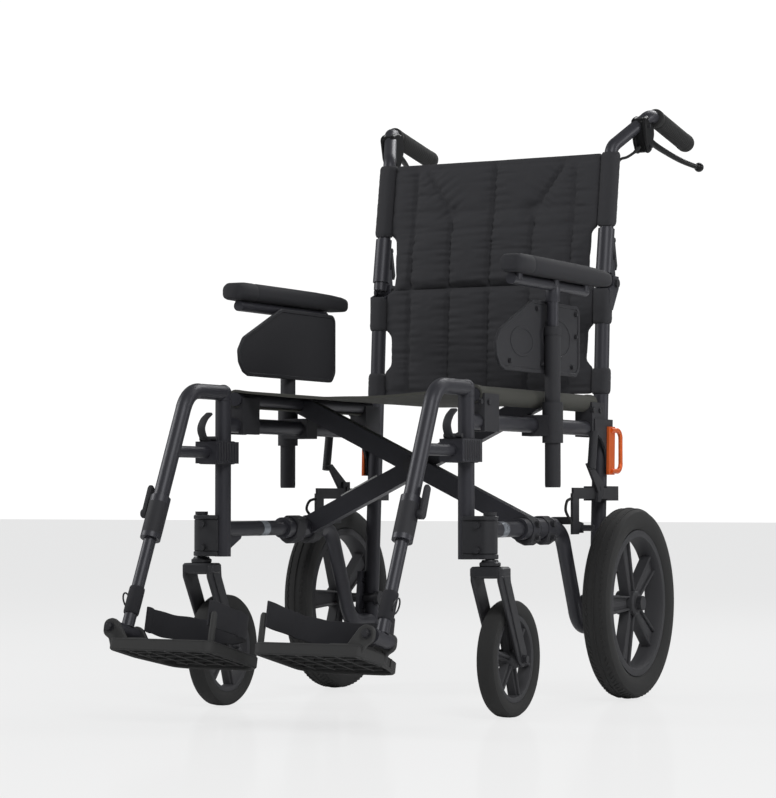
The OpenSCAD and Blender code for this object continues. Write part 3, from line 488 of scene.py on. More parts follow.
class Value:
    """A node's output that Python's arithmetic turns into Math nodes."""

    def __init__(self, graph, socket):
        self.graph, self.socket = graph, socket

    def math(self, operation, other=None, swap=False):
        pair = (other, self) if swap else (self, other)
        return self.graph.node("ShaderNodeMath", {"operation": operation}, {0: pair[0], 1: pair[1]})

    def __add__(self, other):
        return self.math("ADD", other)

    def __sub__(self, other):
        return self.math("SUBTRACT", other)

    def __rsub__(self, other):
        return self.math("SUBTRACT", other, True)

    def __mul__(self, other):
        return self.math("MULTIPLY", other)

    def __truediv__(self, other):
        return self.math("DIVIDE", other)

    def output(self, name):
        return Value(self.graph, self.socket.node.outputs[name])

    __radd__ = __add__
    __rmul__ = __mul__


class Graph:
    """A node tree with one way to add a node."""

    def __init__(self, tree):
        self.tree = tree
        tree.nodes.clear()

    def node(self, kind, settings=None, sockets=None):
        """Adds a node, its settings first and then what its sockets hold or are linked to."""
        made = self.tree.nodes.new(kind)
        for key, value in (settings or {}).items():
            if key == "stops":
                ramp = made.color_ramp.elements
                for at, shade in value[len(ramp):]:
                    ramp.new(at)
                for stop, (at, shade) in zip(ramp, value):
                    stop.position, stop.color = at, (shade, shade, shade, 1)
            else:
                setattr(made, key, value)
        for key, value in (sockets or {}).items():
            if isinstance(value, (Value, list)):
                for one in value if isinstance(value, list) else [value]:
                    self.tree.links.new(one.socket, made.inputs[key])
            elif value is not None:
                made.inputs[key].default_value = value
        return Value(self, made.outputs[0]) if made.outputs else made


def rgba(colour, gain=1.0):
    return tuple(min(c * gain, 1.0) for c in colour[:3]) + (1.0,)


# ---- Looks ----


def noise_at(g, spot, scale, detail=3.0):
    """Cloudy noise between 0 and 1."""
    return g.node("ShaderNodeTexNoise", None, {"Vector": spot, "Scale": scale, "Detail": detail})


def band(g, value, low, high):
    """Spreads the part of a value between two limits over 0 to 1."""
    return g.node("ShaderNodeMapRange", None, {"Value": value, "From Min": low, "From Max": high})


def mixed(g, factor, a, b):
    """Blends two colours."""
    made = g.node("ShaderNodeMix", {"data_type": "RGBA"}, {0: factor, 6: a, 7: b})
    return Value(g, made.socket.node.outputs[2])


def wave(value, pitch):
    """A ripple of 0 to 1 that comes back every pitch metres."""
    return (value * (TAU / pitch)).math("SINE") * 0.5 + 0.5


def look(name, colour, rough, metal=0.0, coat=0.0, grain=(1200, 0.02), cloud=0.12, dust=0.1, edge=0.0008, pattern=None, **fixed):
    """A material with drifting tone, grain, rubbed edges and a little dust where it faces up."""
    mat = bpy.data.materials.new(name)
    mat.use_nodes = True
    g = Graph(mat.node_tree)
    spot = g.node("ShaderNodeTexCoord").output("Object")
    broad = noise_at(g, spot, 9, 2)
    patchy = noise_at(g, spot, 55, 5)
    fine = noise_at(g, spot, grain[0], 2)
    up = g.node("ShaderNodeSeparateXYZ", None, {0: g.node("ShaderNodeNewGeometry").output("Normal")}).output("Z")
    settled = band(g, up * patchy, 0.2, 0.75) * dust
    tone = mixed(g, band(g, broad, 0.3, 0.7), rgba(colour, 1 - cloud), rgba(colour, 1 + cloud))
    height = fine * grain[1]
    if pattern:
        tone, height = pattern(g, spot, tone, height, colour)
    tone = mixed(g, settled, tone, (0.09, 0.088, 0.085, 1))
    rubbed = g.node("ShaderNodeBevel", {"samples": 4}, {"Radius": edge}) if edge else None
    normal = g.node("ShaderNodeBump", None, {"Strength": 0.6, "Distance": 0.001, "Height": height, "Normal": rubbed})
    sockets = {
        "Base Color": tone,
        "Roughness": patchy * 0.16 + broad * 0.06 + (rough - 0.11) + settled * 0.5,
        "Metallic": metal,
        "Coat Weight": coat,
        "Normal": normal,
    }
    if not coat:
        sockets["Specular IOR Level"] = 0.12 if pattern in (ribbed_cloth, woven_cloth) else 0.25
    sockets.update(fixed)
    shader = g.node("ShaderNodeBsdfPrincipled", None, sockets)
    g.node("ShaderNodeOutputMaterial", None, {"Surface": shader})
    return mat


def ribbed_cloth(g, spot, tone, height, colour):
    """Fine ribs lying across the cloth with a thread crossing them."""
    parts = g.node("ShaderNodeSeparateXYZ", None, {0: spot})
    rib = wave(parts.output("Z") + noise_at(g, spot, 60) * 0.0008, 0.0021)
    thread = wave(parts.output("X"), 0.0011)
    fuzz = noise_at(g, spot, 420, 6)
    # Painted shade: the colour follows the rib and fuzz relief, a painted highlight on the crests and painted shade in
    # the grooves.
    shade = mixed(g, rib * 0.55 + fuzz * 0.35, rgba(colour, 0.45), rgba(colour, 1.75))
    return mixed(g, noise_at(g, spot, 16) * 0.5, shade, tone), rib * 0.42 + thread * 0.12 + fuzz * 0.25


def woven_cloth(g, spot, tone, height, colour):
    """A plain weave, over and under both ways."""
    parts = g.node("ShaderNodeSeparateXYZ", None, {0: spot})
    warp = wave(parts.output("X"), 0.0016)
    weft = wave(parts.output("Y") + parts.output("Z"), 0.0016)
    weave = warp * (1 - weft) + weft * (1 - warp)
    fuzz = noise_at(g, spot, 500, 5)
    # Painted shade: the colour follows the weave's relief, a painted highlight where a thread rides over and painted
    # shade where it dips under.
    shade = mixed(g, weave * 0.6 + fuzz * 0.4, rgba(colour, 0.5), rgba(colour, 1.6))
    return mixed(g, noise_at(g, spot, 20) * 0.5, shade, tone), weave * 0.4 + fuzz * 0.22


def leather_grain(g, spot, tone, height, colour):
    """A pebbled skin with fine creases."""
    cells = g.node("ShaderNodeTexVoronoi", {"feature": "DISTANCE_TO_EDGE"}, {"Vector": spot, "Scale": 620.0})
    crease = band(g, cells, 0.0, 0.25)
    # Painted shade: the creases are painted darker than the pebbles between them.
    return mixed(g, crease, rgba(colour, 0.7), tone), crease * 0.22 + noise_at(g, spot, 200) * 0.2


def scuffed_rubber(g, spot, tone, height, colour):
    """Rubber with grey scuffs."""
    scuff = band(g, noise_at(g, spot, 85, 8), 0.52, 0.75)
    return mixed(g, scuff * 0.5, tone, rgba(colour, 2.6)), height + scuff * 0.05


def brushed(g, spot, tone, height, colour):
    """Plated steel with a spangle and small dull spots."""
    cells = g.node("ShaderNodeTexVoronoi", None, {"Vector": spot, "Scale": 260.0})
    dull = band(g, noise_at(g, spot, 150, 6), 0.5, 0.7)
    return mixed(g, dull * 0.6, mixed(g, cells, tone, rgba(colour, 1.3)), rgba(colour, 0.55)), height + dull * 0.02


def speckled(g, spot, tone, height, colour):
    """Cast nylon with a pebbled spark finish."""
    pebble = noise_at(g, spot, 750, 6)
    # Painted highlight: the raised pebbles are painted lighter than the hollows between them.
    return mixed(g, band(g, pebble, 0.5, 0.75), tone, rgba(colour, 1.6)), pebble * 0.35


def label_face(g, spot, tone, height, colour):
    """A plain pale label with a grey border line."""
    worn = band(g, noise_at(g, spot, 190, 7), 0.55, 0.72)
    return mixed(g, worn * 0.35, tone, rgba(colour, 0.5)), height


def make_looks(p):
    """Every finish of the chair."""
    black = p.moulding_colour
    look("frame_paint", p.frame_colour, 0.17, 0.0, 0.35, (420, 0.03), 0.18, 0.05, 0.0006)
    look("housing_black", p.frame_colour, 0.27, 0.0, 0.2, (650, 0.05), 0.2, 0.06)
    look("black_plastic", black, 0.44, grain=(1500, 0.1), pattern=speckled, dust=0.06)
    look("brake_plastic", black, 0.36, grain=(900, 0.06), dust=0.06, edge=0.0006)
    look("zinc_steel", (0.52, 0.53, 0.55), 0.3, 0.95, pattern=brushed, cloud=0.1, dust=0.06, edge=0.0004)
    look("orange_paint", p.hook_colour, 0.28, 0.0, 0.6, (500, 0.05), 0.1, 0.1)
    look("grip_rubber", black, 0.62, pattern=scuffed_rubber, dust=0.065)
    look("cable_black", black, 0.38, coat=0.2, dust=0.1, edge=0.0)
    look("pad_urethane", p.pad_colour, 0.4, coat=0.15, pattern=leather_grain, dust=0.05, edge=0.0)
    look("hub_grey", black, 0.34, coat=0.1, grain=(1100, 0.05), dust=0.062)
    look("tyre_rubber", (0.006, 0.006, 0.0064), 0.6, pattern=scuffed_rubber, dust=0.1, edge=0.0006)
    look("plate_plastic", (0.0065, 0.0065, 0.007), 0.44, pattern=speckled, dust=0.12)
    look("webbing", (0.006, 0.006, 0.0066), 0.75, pattern=woven_cloth, dust=0.08, edge=0.0)
    look("seat_fabric", p.seat_colour, 0.7, pattern=woven_cloth, dust=0.06, edge=0.0)
    look("back_fabric", p.back_colour, 0.86, pattern=ribbed_cloth, cloud=0.2, dust=0.06, edge=0.0)
    look("thread", (0.05, 0.05, 0.052), 0.75, dust=0.1, edge=0.0)
    look("eyelet_dark", (0.006, 0.006, 0.006), 0.8, dust=0.0, edge=0.0)
    look("label_white", (0.78, 0.78, 0.76), 0.42, pattern=label_face, cloud=0.03, dust=0.05, edge=0.0)
    look("sticker_blue", (0.25, 0.27, 0.3), 0.3, 0.5, pattern=brushed, dust=0.05, edge=0.0)


# ---- Repeated parts ----


def repeater(name, build):
    """A geometry tree that places copies on points that carry an aim, ending realized and with a material."""
    tree = bpy.data.node_groups.new(name, "GeometryNodeTree")
    face = tree.interface
    face.new_socket("Geometry", in_out="INPUT", socket_type="NodeSocketGeometry")
    for label, kind, value in build["inputs"]:
        face.new_socket(label, in_out="INPUT", socket_type=kind).default_value = value
    face.new_socket("Look", in_out="INPUT", socket_type="NodeSocketMaterial")
    face.new_socket("Geometry", in_out="OUTPUT", socket_type="NodeSocketGeometry")
    g = Graph(tree)
    entry = g.node("NodeGroupInput")
    aim = g.node("GeometryNodeInputNamedAttribute", {"data_type": "FLOAT_VECTOR"}, {"Name": "aim"})
    turn = g.node("FunctionNodeAlignRotationToVector", {"axis": "Z"}, {"Vector": aim})
    solid = build["solid"](g, entry)
    points = g.node("GeometryNodeMeshToPoints", None, {"Mesh": entry})
    placed = g.node(
        "GeometryNodeInstanceOnPoints", None, {"Points": points, "Instance": solid, "Rotation": turn}
    )
    real = g.node("GeometryNodeRealizeInstances", None, {"Geometry": placed})
    shaded = g.node("GeometryNodeSetMaterial", None, {"Geometry": real, "Material": entry.output("Look")})
    g.node("NodeGroupOutput", {"is_active_output": True}, {"Geometry": shaded})
    return tree


def bolt_head(g, entry):
    """A hexagon head on a round washer, with a shallow dished top."""
    wide, tall = entry.output("Size"), entry.output("Height")
    washer = g.node("GeometryNodeMeshCylinder", None, {"Vertices": 16, "Radius": wide * 0.68, "Depth": 0.0012})
    washer = washer.output("Mesh")
    head = g.node("GeometryNodeMeshCylinder", None, {"Vertices": 6, "Radius": wide * 0.56, "Depth": tall})
    head = g.node("GeometryNodeTransform", None, {"Geometry": head.output("Mesh"), "Translation": g.node("ShaderNodeCombineXYZ", None, {2: tall * 0.5 + 0.0005})})
    cap = g.node("GeometryNodeMeshCone", None, {"Vertices": 16, "Radius Bottom": wide * 0.45, "Radius Top": wide * 0.36, "Depth": 0.0008})
    cap = g.node("GeometryNodeTransform", None, {"Geometry": cap.output("Mesh"), "Translation": g.node("ShaderNodeCombineXYZ", None, {2: tall})})
    return g.node("GeometryNodeJoinGeometry", None, {0: [washer, head, cap]})


def thread_bead(g, entry):
    """One short rounded stitch."""
    bead = g.node("GeometryNodeMeshUVSphere", None, {"Segments": 6, "Rings": 4, "Radius": entry.output("Size")})
    return g.node("GeometryNodeTransform", None, {"Geometry": bead.output("Mesh"), "Scale": (2.2, 1.0, 0.7)})


def tread_block(g, entry):
    """One rib of the tread with its top narrower than its foot."""
    wide, tall = entry.output("Size"), entry.output("Height")
    block = g.node("GeometryNodeMeshCone", {"fill_type": "NGON"}, {"Vertices": 4, "Radius Bottom": wide, "Radius Top": wide * 0.75, "Depth": tall})
    turned_block = g.node("GeometryNodeTransform", None, {"Geometry": block.output("Mesh"), "Rotation": (0, 0, math.pi / 4)})
    return g.node("GeometryNodeTransform", None, {"Geometry": turned_block, "Scale": (1.0, 4.2, 1.0)})


PARTS = {
    "bolt": {"inputs": (("Size", "NodeSocketFloat", 0.006), ("Height", "NodeSocketFloat", 0.004)), "solid": bolt_head},
    "stitch": {"inputs": (("Size", "NodeSocketFloat", 0.0006),), "solid": thread_bead},
    "tread": {"inputs": (("Size", "NodeSocketFloat", 0.002), ("Height", "NodeSocketFloat", 0.002)), "solid": tread_block},
}


def repeated(kind, name, body, slot, shade, places, side=1, **values):
    """Copies one small part to (point, aim) places in millimetres and makes a plain mesh of them."""
    tree = bpy.data.node_groups.get(kind) or repeater(kind, PARTS[kind])
    flip = Vector((side, 1, 1))
    points = bpy.data.meshes.new(name)
    points.from_pydata([(Vector(p) + Vector((0, POST_Y, 0))) * flip * MM for p, _ in places], [], [])
    aims = points.attributes.new("aim", "FLOAT_VECTOR", "POINT")
    for item, (_, aim) in zip(aims.data, places):
        item.vector = Vector(aim).normalized() * flip
    carrier = bpy.data.objects.new(name + "_points", points)
    bpy.context.scene.collection.objects.link(carrier)
    modifier = carrier.modifiers.new(kind, "NODES")
    modifier.node_group = tree
    sockets = {s.name: s.identifier for s in tree.interface.items_tree if s.in_out == "INPUT"}
    for label, value in values.items():
        modifier[sockets[label.capitalize()]] = value
    modifier[sockets["Look"]] = bpy.data.materials[shade]
    graph = bpy.context.evaluated_depsgraph_get()
    mesh = bpy.data.meshes.new_from_object(carrier.evaluated_get(graph), depsgraph=graph)
    mesh.name = name
    bpy.data.objects.remove(carrier)
    if not mesh.materials:
        mesh.materials.append(bpy.data.materials[shade])
    return settle(mesh, name, body, slot, (), ())


# ---- Sizes and colours a user would change ----


def colour(name, text, value):
    return FloatVectorProperty(name=name, description=text, subtype="COLOR", default=value, min=0, max=1)


class ChairSettings(bpy.types.PropertyGroup):
    """Sizes and colours of the chair's visible parts."""

    frame_colour: colour("Frame paint", "Colour of the painted tubes", (0.005, 0.0052, 0.006))
    moulding_colour: colour("Mouldings", "Colour of the moulded nylon parts", (0.0062, 0.0062, 0.0068))
    hook_colour: colour("Tie-down loops", "Colour of the loops a vehicle strap hooks to", (1.0, 0.36, 0.035))
    pad_colour: colour("Arm pads", "Colour of the foam arm pads", (0.0045, 0.0045, 0.005))
    seat_colour: colour("Seat cloth", "Colour of the seat", (0.0062, 0.0065, 0.0057))
    back_colour: colour("Back cloth", "Colour of the padded back", (0.0052, 0.0053, 0.0059))
    back_thickness: FloatProperty(
        name="Back thickness", description="Padding of the back before it is puffed up", default=0.014,
        min=0.008, max=0.03, unit="LENGTH")
    back_pressure: FloatProperty(
        name="Back pressure", description="How hard the padding pushes the cover out", default=4.0, min=0, max=12)
    spoke_count: IntProperty(name="Spokes", description="Spokes of each rear wheel", default=5, min=3, max=9)
    tread_count: IntProperty(name="Tread ribs", description="Ribs round each rear tyre", default=96, min=24, max=140)
    seed: IntProperty(name="Seed", description="Start of the random puckers", default=11)


# ---- Wheels ----


def wheel_face(side, x0, centre, angle=0.0):
    """Places flat wheel outlines: u out from the axle at an angle, v across, w along the axle."""
    c, s = math.cos(angle), math.sin(angle)
    return lambda u, v, w: (x0 + w, centre[0] - u * c + v * s, centre[1] + u * s + v * c)


def build_rear_wheels(p):
    tyre = [(120, -14), (124, -18.5), (132, -21.4), (143, -22.3), (150, -20.4), (153.6, -15), (155, -8), (155.4, 0)]
    tyre += [(r, -d) for r, d in tyre[-2::-1]]
    channel = [(119.7, -16), (119.7, 16), (113, 17.4), (109, 16.5), (106.5, 12), (106, 0), (106.5, -12), (109, -16.5), (113, -17.4)]
    hub = [(0, -23), (12, -23), (14, -21.5), (16, -21), (19.5, -19), (19.5, 12), (18, 14), (11, 14.6), (10, 16.2), (0, 16.2)]
    at = (WHEEL.x, WHEEL.y, WHEEL_R)
    for s, side in SIDES:
        body = s + "_rear_wheel"
        Shape().lathe(tyre, at, steps=128).done(
            s + "_tyre_carcass", side, body, "tyre_rubber", ["tyre_rubber"], [s + "_wheel_tyre"])
        ribs = []
        for i in range(p.tread_count):
            for row in (-1, 0, 1):
                t = TAU * (i + 0.5 * (row == 0)) / p.tread_count
                r = 154.9 if row == 0 else 153.4
                aim = Vector((0.34 * row, math.cos(t), math.sin(t)))
                ribs.append((Vector(at) + Vector((12.5 * row, r * math.cos(t), r * math.sin(t))), aim))
        repeated("tread", s + "_tyre_tread", body, "tyre_rubber", "tyre_rubber", ribs, side, size=0.0021, height=0.0018)
        wheel = Shape().lathe(channel, at, steps=96).lathe(hub, at, steps=40)
        for i in range(p.spoke_count):
            place = wheel_face(side, at[0] - 2, at[1:], TAU * i / p.spoke_count)
            wheel.slab([(15, -10), (108, -15.5), (108, 15.5), (15, 10)], -4, 5, bevel=0.6, place=place)
            for v in (-1, 1):
                edge = [(14, v * 7.5), (108, v * 12.5), (108, v * 17), (14, v * 11.5)]
                wheel.slab(edge, -9, 10, bevel=1.6, place=place)
            wheel.slab(rounded([(24, -4), (96, -7), (96, 7), (24, 4)], 3), 4.4, 6.2, bevel=0.9, place=place)
        wheel.done(s + "_wheel_spokes", side, body, "hub_grey", ["hub_grey"], [s + "_wheel_rim"])
        valve = Shape().tube([(at[0] + 8, at[1] - 84, at[2] + 61), (at[0] + 9, at[1] - 72, at[2] + 52)], [2.6, 2.2], 12)
        valve.done(s + "_wheel_valve", side, body, "hub_grey", ["cable_black"])
        nut = [(Vector(at) + Vector((16, 0, 0)), (1, 0, 0))]
        repeated("bolt", s + "_wheel_nut", body, "hub_grey", "hub_grey", nut, side, size=0.013, height=0.007)


def build_casters(p):
    tyre = [(66.4, -11), (70, -13.4), (80, -14.7), (84.6, -13.6), (87.3, -10), (88, -4), (88, 4), (87.3, 10), (84.6, 13.6),
        (80, 14.7), (70, 13.4), (66.4, 11)]
    ring = [(66, -11), (66, 11), (62, 11.6), (59, 10.4), (57.6, 6), (57.6, -6), (59, -10.4), (62, -11.6)]
    hub = [(0, -17.6), (9, -17.6), (11, -16), (14, -13), (15, -8), (15, 8), (14, 13), (11, 16), (9, 17.6), (0, 17.6)]
    at = (CASTER.x, CASTER.y, CASTER_R)
    for s, side in SIDES:
        body = s + "_caster_wheel"
        Shape().lathe(tyre, at, steps=96).done(
            s + "_caster_tread", side, body, "tyre_rubber", ["tyre_rubber"], [s + "_caster_tyre"])
        wheel = Shape().lathe(ring, at, steps=72).lathe(hub, at, steps=32)
        for i in range(6):
            place = wheel_face(side, at[0], at[1:], TAU * i / 6 + 0.2)
            wheel.slab([(12, -6.4), (59, -3.6), (59, 3.6), (12, 6.4)], -6, 6, bevel=1.4, place=place)
            wheel.slab([(13, -2), (58, -2), (58, 2), (13, 2)], -10, 10, bevel=1, place=place)
        wheel.done(s + "_caster_spokes", side, body, "hub_grey", ["hub_grey"], [s + "_caster_hub"])
        fork = Shape()
        arm = [(-18, 226, 5), (-18, 206, 12), (50, 86, 14), (66, 72, 17), (82, 88, 17), (76, 104, 14), (22, 206, 12), (20, 226, 5)]
        for w in (-1, 1):
            low, high = sorted((250 + w * 19.3, 250 + w * 24.4))
            fork.slab(rounded(arm, 5, 6), low, high, "x", 1.2)
            rib = rounded([(-8, 214), (56, 92), (62, 97), (4, 214)], 2)
            low, high = sorted((250 + w * 23.8, 250 + w * 26.4))
            fork.slab(rib, low, high, "x", 1.0)
        crown = rounded([(222.4, -19), (277.6, -19), (277.6, 21), (222.4, 21)], 10, 6)
        fork.slab(crown, 211, 227.4, "z", 3)
        fork.lathe([(0, 210), (12, 210), (13.4, 226), (16, 229), (16, 233), (13, 235), (12, 237.4), (7, 237.8), (7, 296), (0, 296)], (250, 0, 0), (0, 0, 1), 32)
        fork.done(s + "_caster_strap", side, s + "_caster_fork", "housing_black", ["housing_black"], [s + "_caster_fork"])
        ends = [((250 + w * 24.6, at[1], at[2]), (w, 0, 0)) for w in (-1, 1)]
        repeated("bolt", s + "_caster_bolt", s + "_caster_fork", "housing_black", "housing_black", ends, side, size=0.011, height=0.006)
        housing = Shape()
        for z0, z1, grow in ((238.4, 246, 1.6), (246, 296, 0), (296, 302.6, 1.6)):
            outline = rounded([(211.6, -16.2 - grow, 2), (250, -16.2 - grow, 17), (266 + grow, 0, 16), (250, 16.2 + grow, 17), (211.6, 16.2 + grow, 2)], 8, 8)
            housing.slab(outline, z0, z1, "z", 1.2, holes=[circle(7.3, 24, (250, 0))])
        housing.done(s + "_caster_barrel", side, s + "_frame", "housing_black", ["housing_black"], [s + "_caster_housing"])
        cap = [((250, 0, 302.4), (0, 0, 1))]
        repeated("bolt", s + "_caster_cap", s + "_frame", "black_plastic", "black_plastic", cap, side, size=0.017, height=0.004)


# ---- Arms ----


def build_arms(p):
    for s, side in SIDES:
        drop = 0 if side > 0 else PAD_DROP
        low, high = PAD_LOW.z / MM - drop, PAD_HIGH.z / MM - drop
        y0, y1 = PAD_LOW.y / MM - POST_Y, PAD_HIGH.y / MM - POST_Y
        x = (PAD_LOW.x + PAD_HIGH.x) / 2 / MM
        wide, tall = (PAD_HIGH.x - PAD_LOW.x) / MM, high - low
        stations = ((0, 0.3, 0.42), (0.004, 0.6, 0.66), (0.012, 0.8, 0.82), (0.03, 0.93, 0.93), (0.07, 0.98, 0.98), (0.135, 0.99, 0.99),
            (0.146, 0.96, 0.955), (0.152, 0.93, 0.92), (0.158, 0.96, 0.955), (0.17, 1, 0.99), (0.4, 1, 1), (0.7, 1, 1), (0.85, 0.98, 0.95),
            (0.94, 0.93, 0.86), (0.975, 0.85, 0.76), (0.99, 0.7, 0.62), (0.997, 0.5, 0.45), (1, 0.3, 0.3))
        rings = []
        for t, w, h in stations:
            y = y0 + (y1 - y0) * t
            outline = pill(wide * w, tall * h, 11 * min(w, h), 5)
            keep_low = (1 - h) * tall * 0.5 * (0.2 if t > 0.5 else 0.6)
            arch = [(px, pz + (1 - (px / wide * 2) ** 2) * 1.5 * (pz > 0) - 1.4 * (pz > 0)) for px, pz in outline]
            rings.append([(x + px, y, (low + high) / 2 + pz - keep_low) for px, pz in arch])
        pad = Shape().rings(rings).done(s + "_arm_cushion", side, s + "_armrest", "pad_urethane", ["pad_urethane"], [s + "_arm_pad"], sharp=60)
        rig.padded(pad, 0.9)
        guard = Shape()
        edge = [(102, 525, 8), (380, 525, 14), (392, 541, 14), (392, 640, 14), (208, 640, 22), (86, 587, 16), (70, 566, 9), (73, 546, 9), (86, 531, 8)]
        outline = rounded(edge, 12, 6)
        ridge = inset(turned(outline), 6)
        guard.slab(outline, 224.2, 226.8, "x", 0.8)
        for w0, w1 in ((226.2, 228.4), (222.9, 224.8)):
            guard.slab(outline, w0, w1, "x", 0.8, holes=[ridge])
        for centre, a, b in (((300, 583), 58, 34), ((168, 572), 44, 24)):
            oval = [(centre[0] + a * math.cos(TAU * i / 40), centre[1] + b * math.sin(TAU * i / 40)) for i in range(40)]
            hole = [(centre[0] + (a - 5) * math.cos(TAU * i / 40), centre[1] + (b - 5) * math.sin(TAU * i / 40)) for i in range(40)]
            guard.slab(oval, 226.4, 227.9, "x", 0.7, holes=[hole])
        pipe = [(9.7, 599.6), (11.6, 599.6), (12.5, 592), (12.5, 350), (11.8, 346), (9.7, 346)]
        guard.lathe(pipe, (ARM_POST.x, 256, 0), (0, 0, 1), 32)
        guard.lathe([(0, 346.4), (9.7, 346.4), (9.7, 354), (0, 354)], (ARM_POST.x, 256, 0), (0, 0, 1), 32)
        guard.lathe([(12, 585), (13.6, 586), (13.6, 598.6), (12, 599.8)], (ARM_POST.x, 256, 0), (0, 0, 1), 32)
        guard.done(s + "_side_guard", side, s + "_frame", "black_plastic", ["black_plastic"], [s + "_skirt_guard"])
        screws = [((228.2, y, z), (1, 0, 0)) for y, z in ((120, 540), (240, 540), (360, 540), (376, 590), (376, 626), (222, 626))]
        repeated("bolt", s + "_guard_screws", s + "_frame", "housing_black", "housing_black", screws, side, size=0.006, height=0.002)
        arm = Shape()
        z = low - 8.9
        arm.tube(bent([(x - 5.8 + 1.3, 96, z), (x - 5.8 + 1.3, 384, z)], 10), 8.5, 24)
        arm.tube([(ARM_POST.x, 256, 503), (ARM_POST.x, 256, z)], 9.4, 24)
        arm.lathe([(0, z - 26), (10.5, z - 26), (11.7, z - 24), (11.7, z - 4), (10.5, z), (0, z)], (ARM_POST.x, 256, 0), (0, 0, 1), 32)
        for y in (110, 250, 370):
            arm.slab(pill(13, 17, 4, 3), z - 1, low - 0.2, "z", 0.6, place=lambda u, v, w, y=y: (x + u, y + v, w))
        arm.done(s + "_arm_tube", side, s + "_armrest", "frame_paint", ["frame_paint"], [s + "_armrest"])


# ---- Back and seat ----


def puff(obj, p, cap):
    """Blows a remeshed cover up like padding, each point moving no further than the cap in millimetres."""
    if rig.quick():
        return
    bpy.context.view_layer.objects.active = obj
    start = [v.co.copy() for v in obj.data.vertices]
    cloth = obj.modifiers.new("Cloth", "CLOTH")
    cloth.settings.use_pressure = True
    cloth.settings.uniform_pressure_force = p.back_pressure
    cloth.settings.quality = 4
    cloth.settings.mass = 0.3
    cloth.settings.tension_stiffness = 18
    cloth.settings.bending_stiffness = 0.6
    cloth.settings.effector_weights.gravity = 0
    cloth.settings.vertex_group_mass = "pinned"
    cloth.point_cache.frame_start, cloth.point_cache.frame_end = 1, 20
    scene = bpy.context.scene
    for step in range(1, 21):
        scene.frame_set(step)
    graph = bpy.context.evaluated_depsgraph_get()
    moved = bpy.data.meshes.new_from_object(obj.evaluated_get(graph), depsgraph=graph)
    obj.modifiers.remove(cloth)
    for vert, first, last in zip(obj.data.vertices, start, moved.vertices):
        step = last.co - first
        step.x, step.z = step.x * 0.25, step.z * 0.25
        if step.length > cap * MM:
            step *= cap * MM / step.length
        vert.co = first + step
    scene.frame_set(1)


def near_line(x, z, a, b):
    """Distance to a line from a to b and how far along it."""
    d = Vector((b[0] - a[0], b[1] - a[1]))
    t = max(0, min(1, ((x - a[0]) * d.x + (z - a[1]) * d.y) / d.length_squared))
    return math.hypot(x - a[0] - d.x * t, z - a[1] - d.y * t), t * d.length


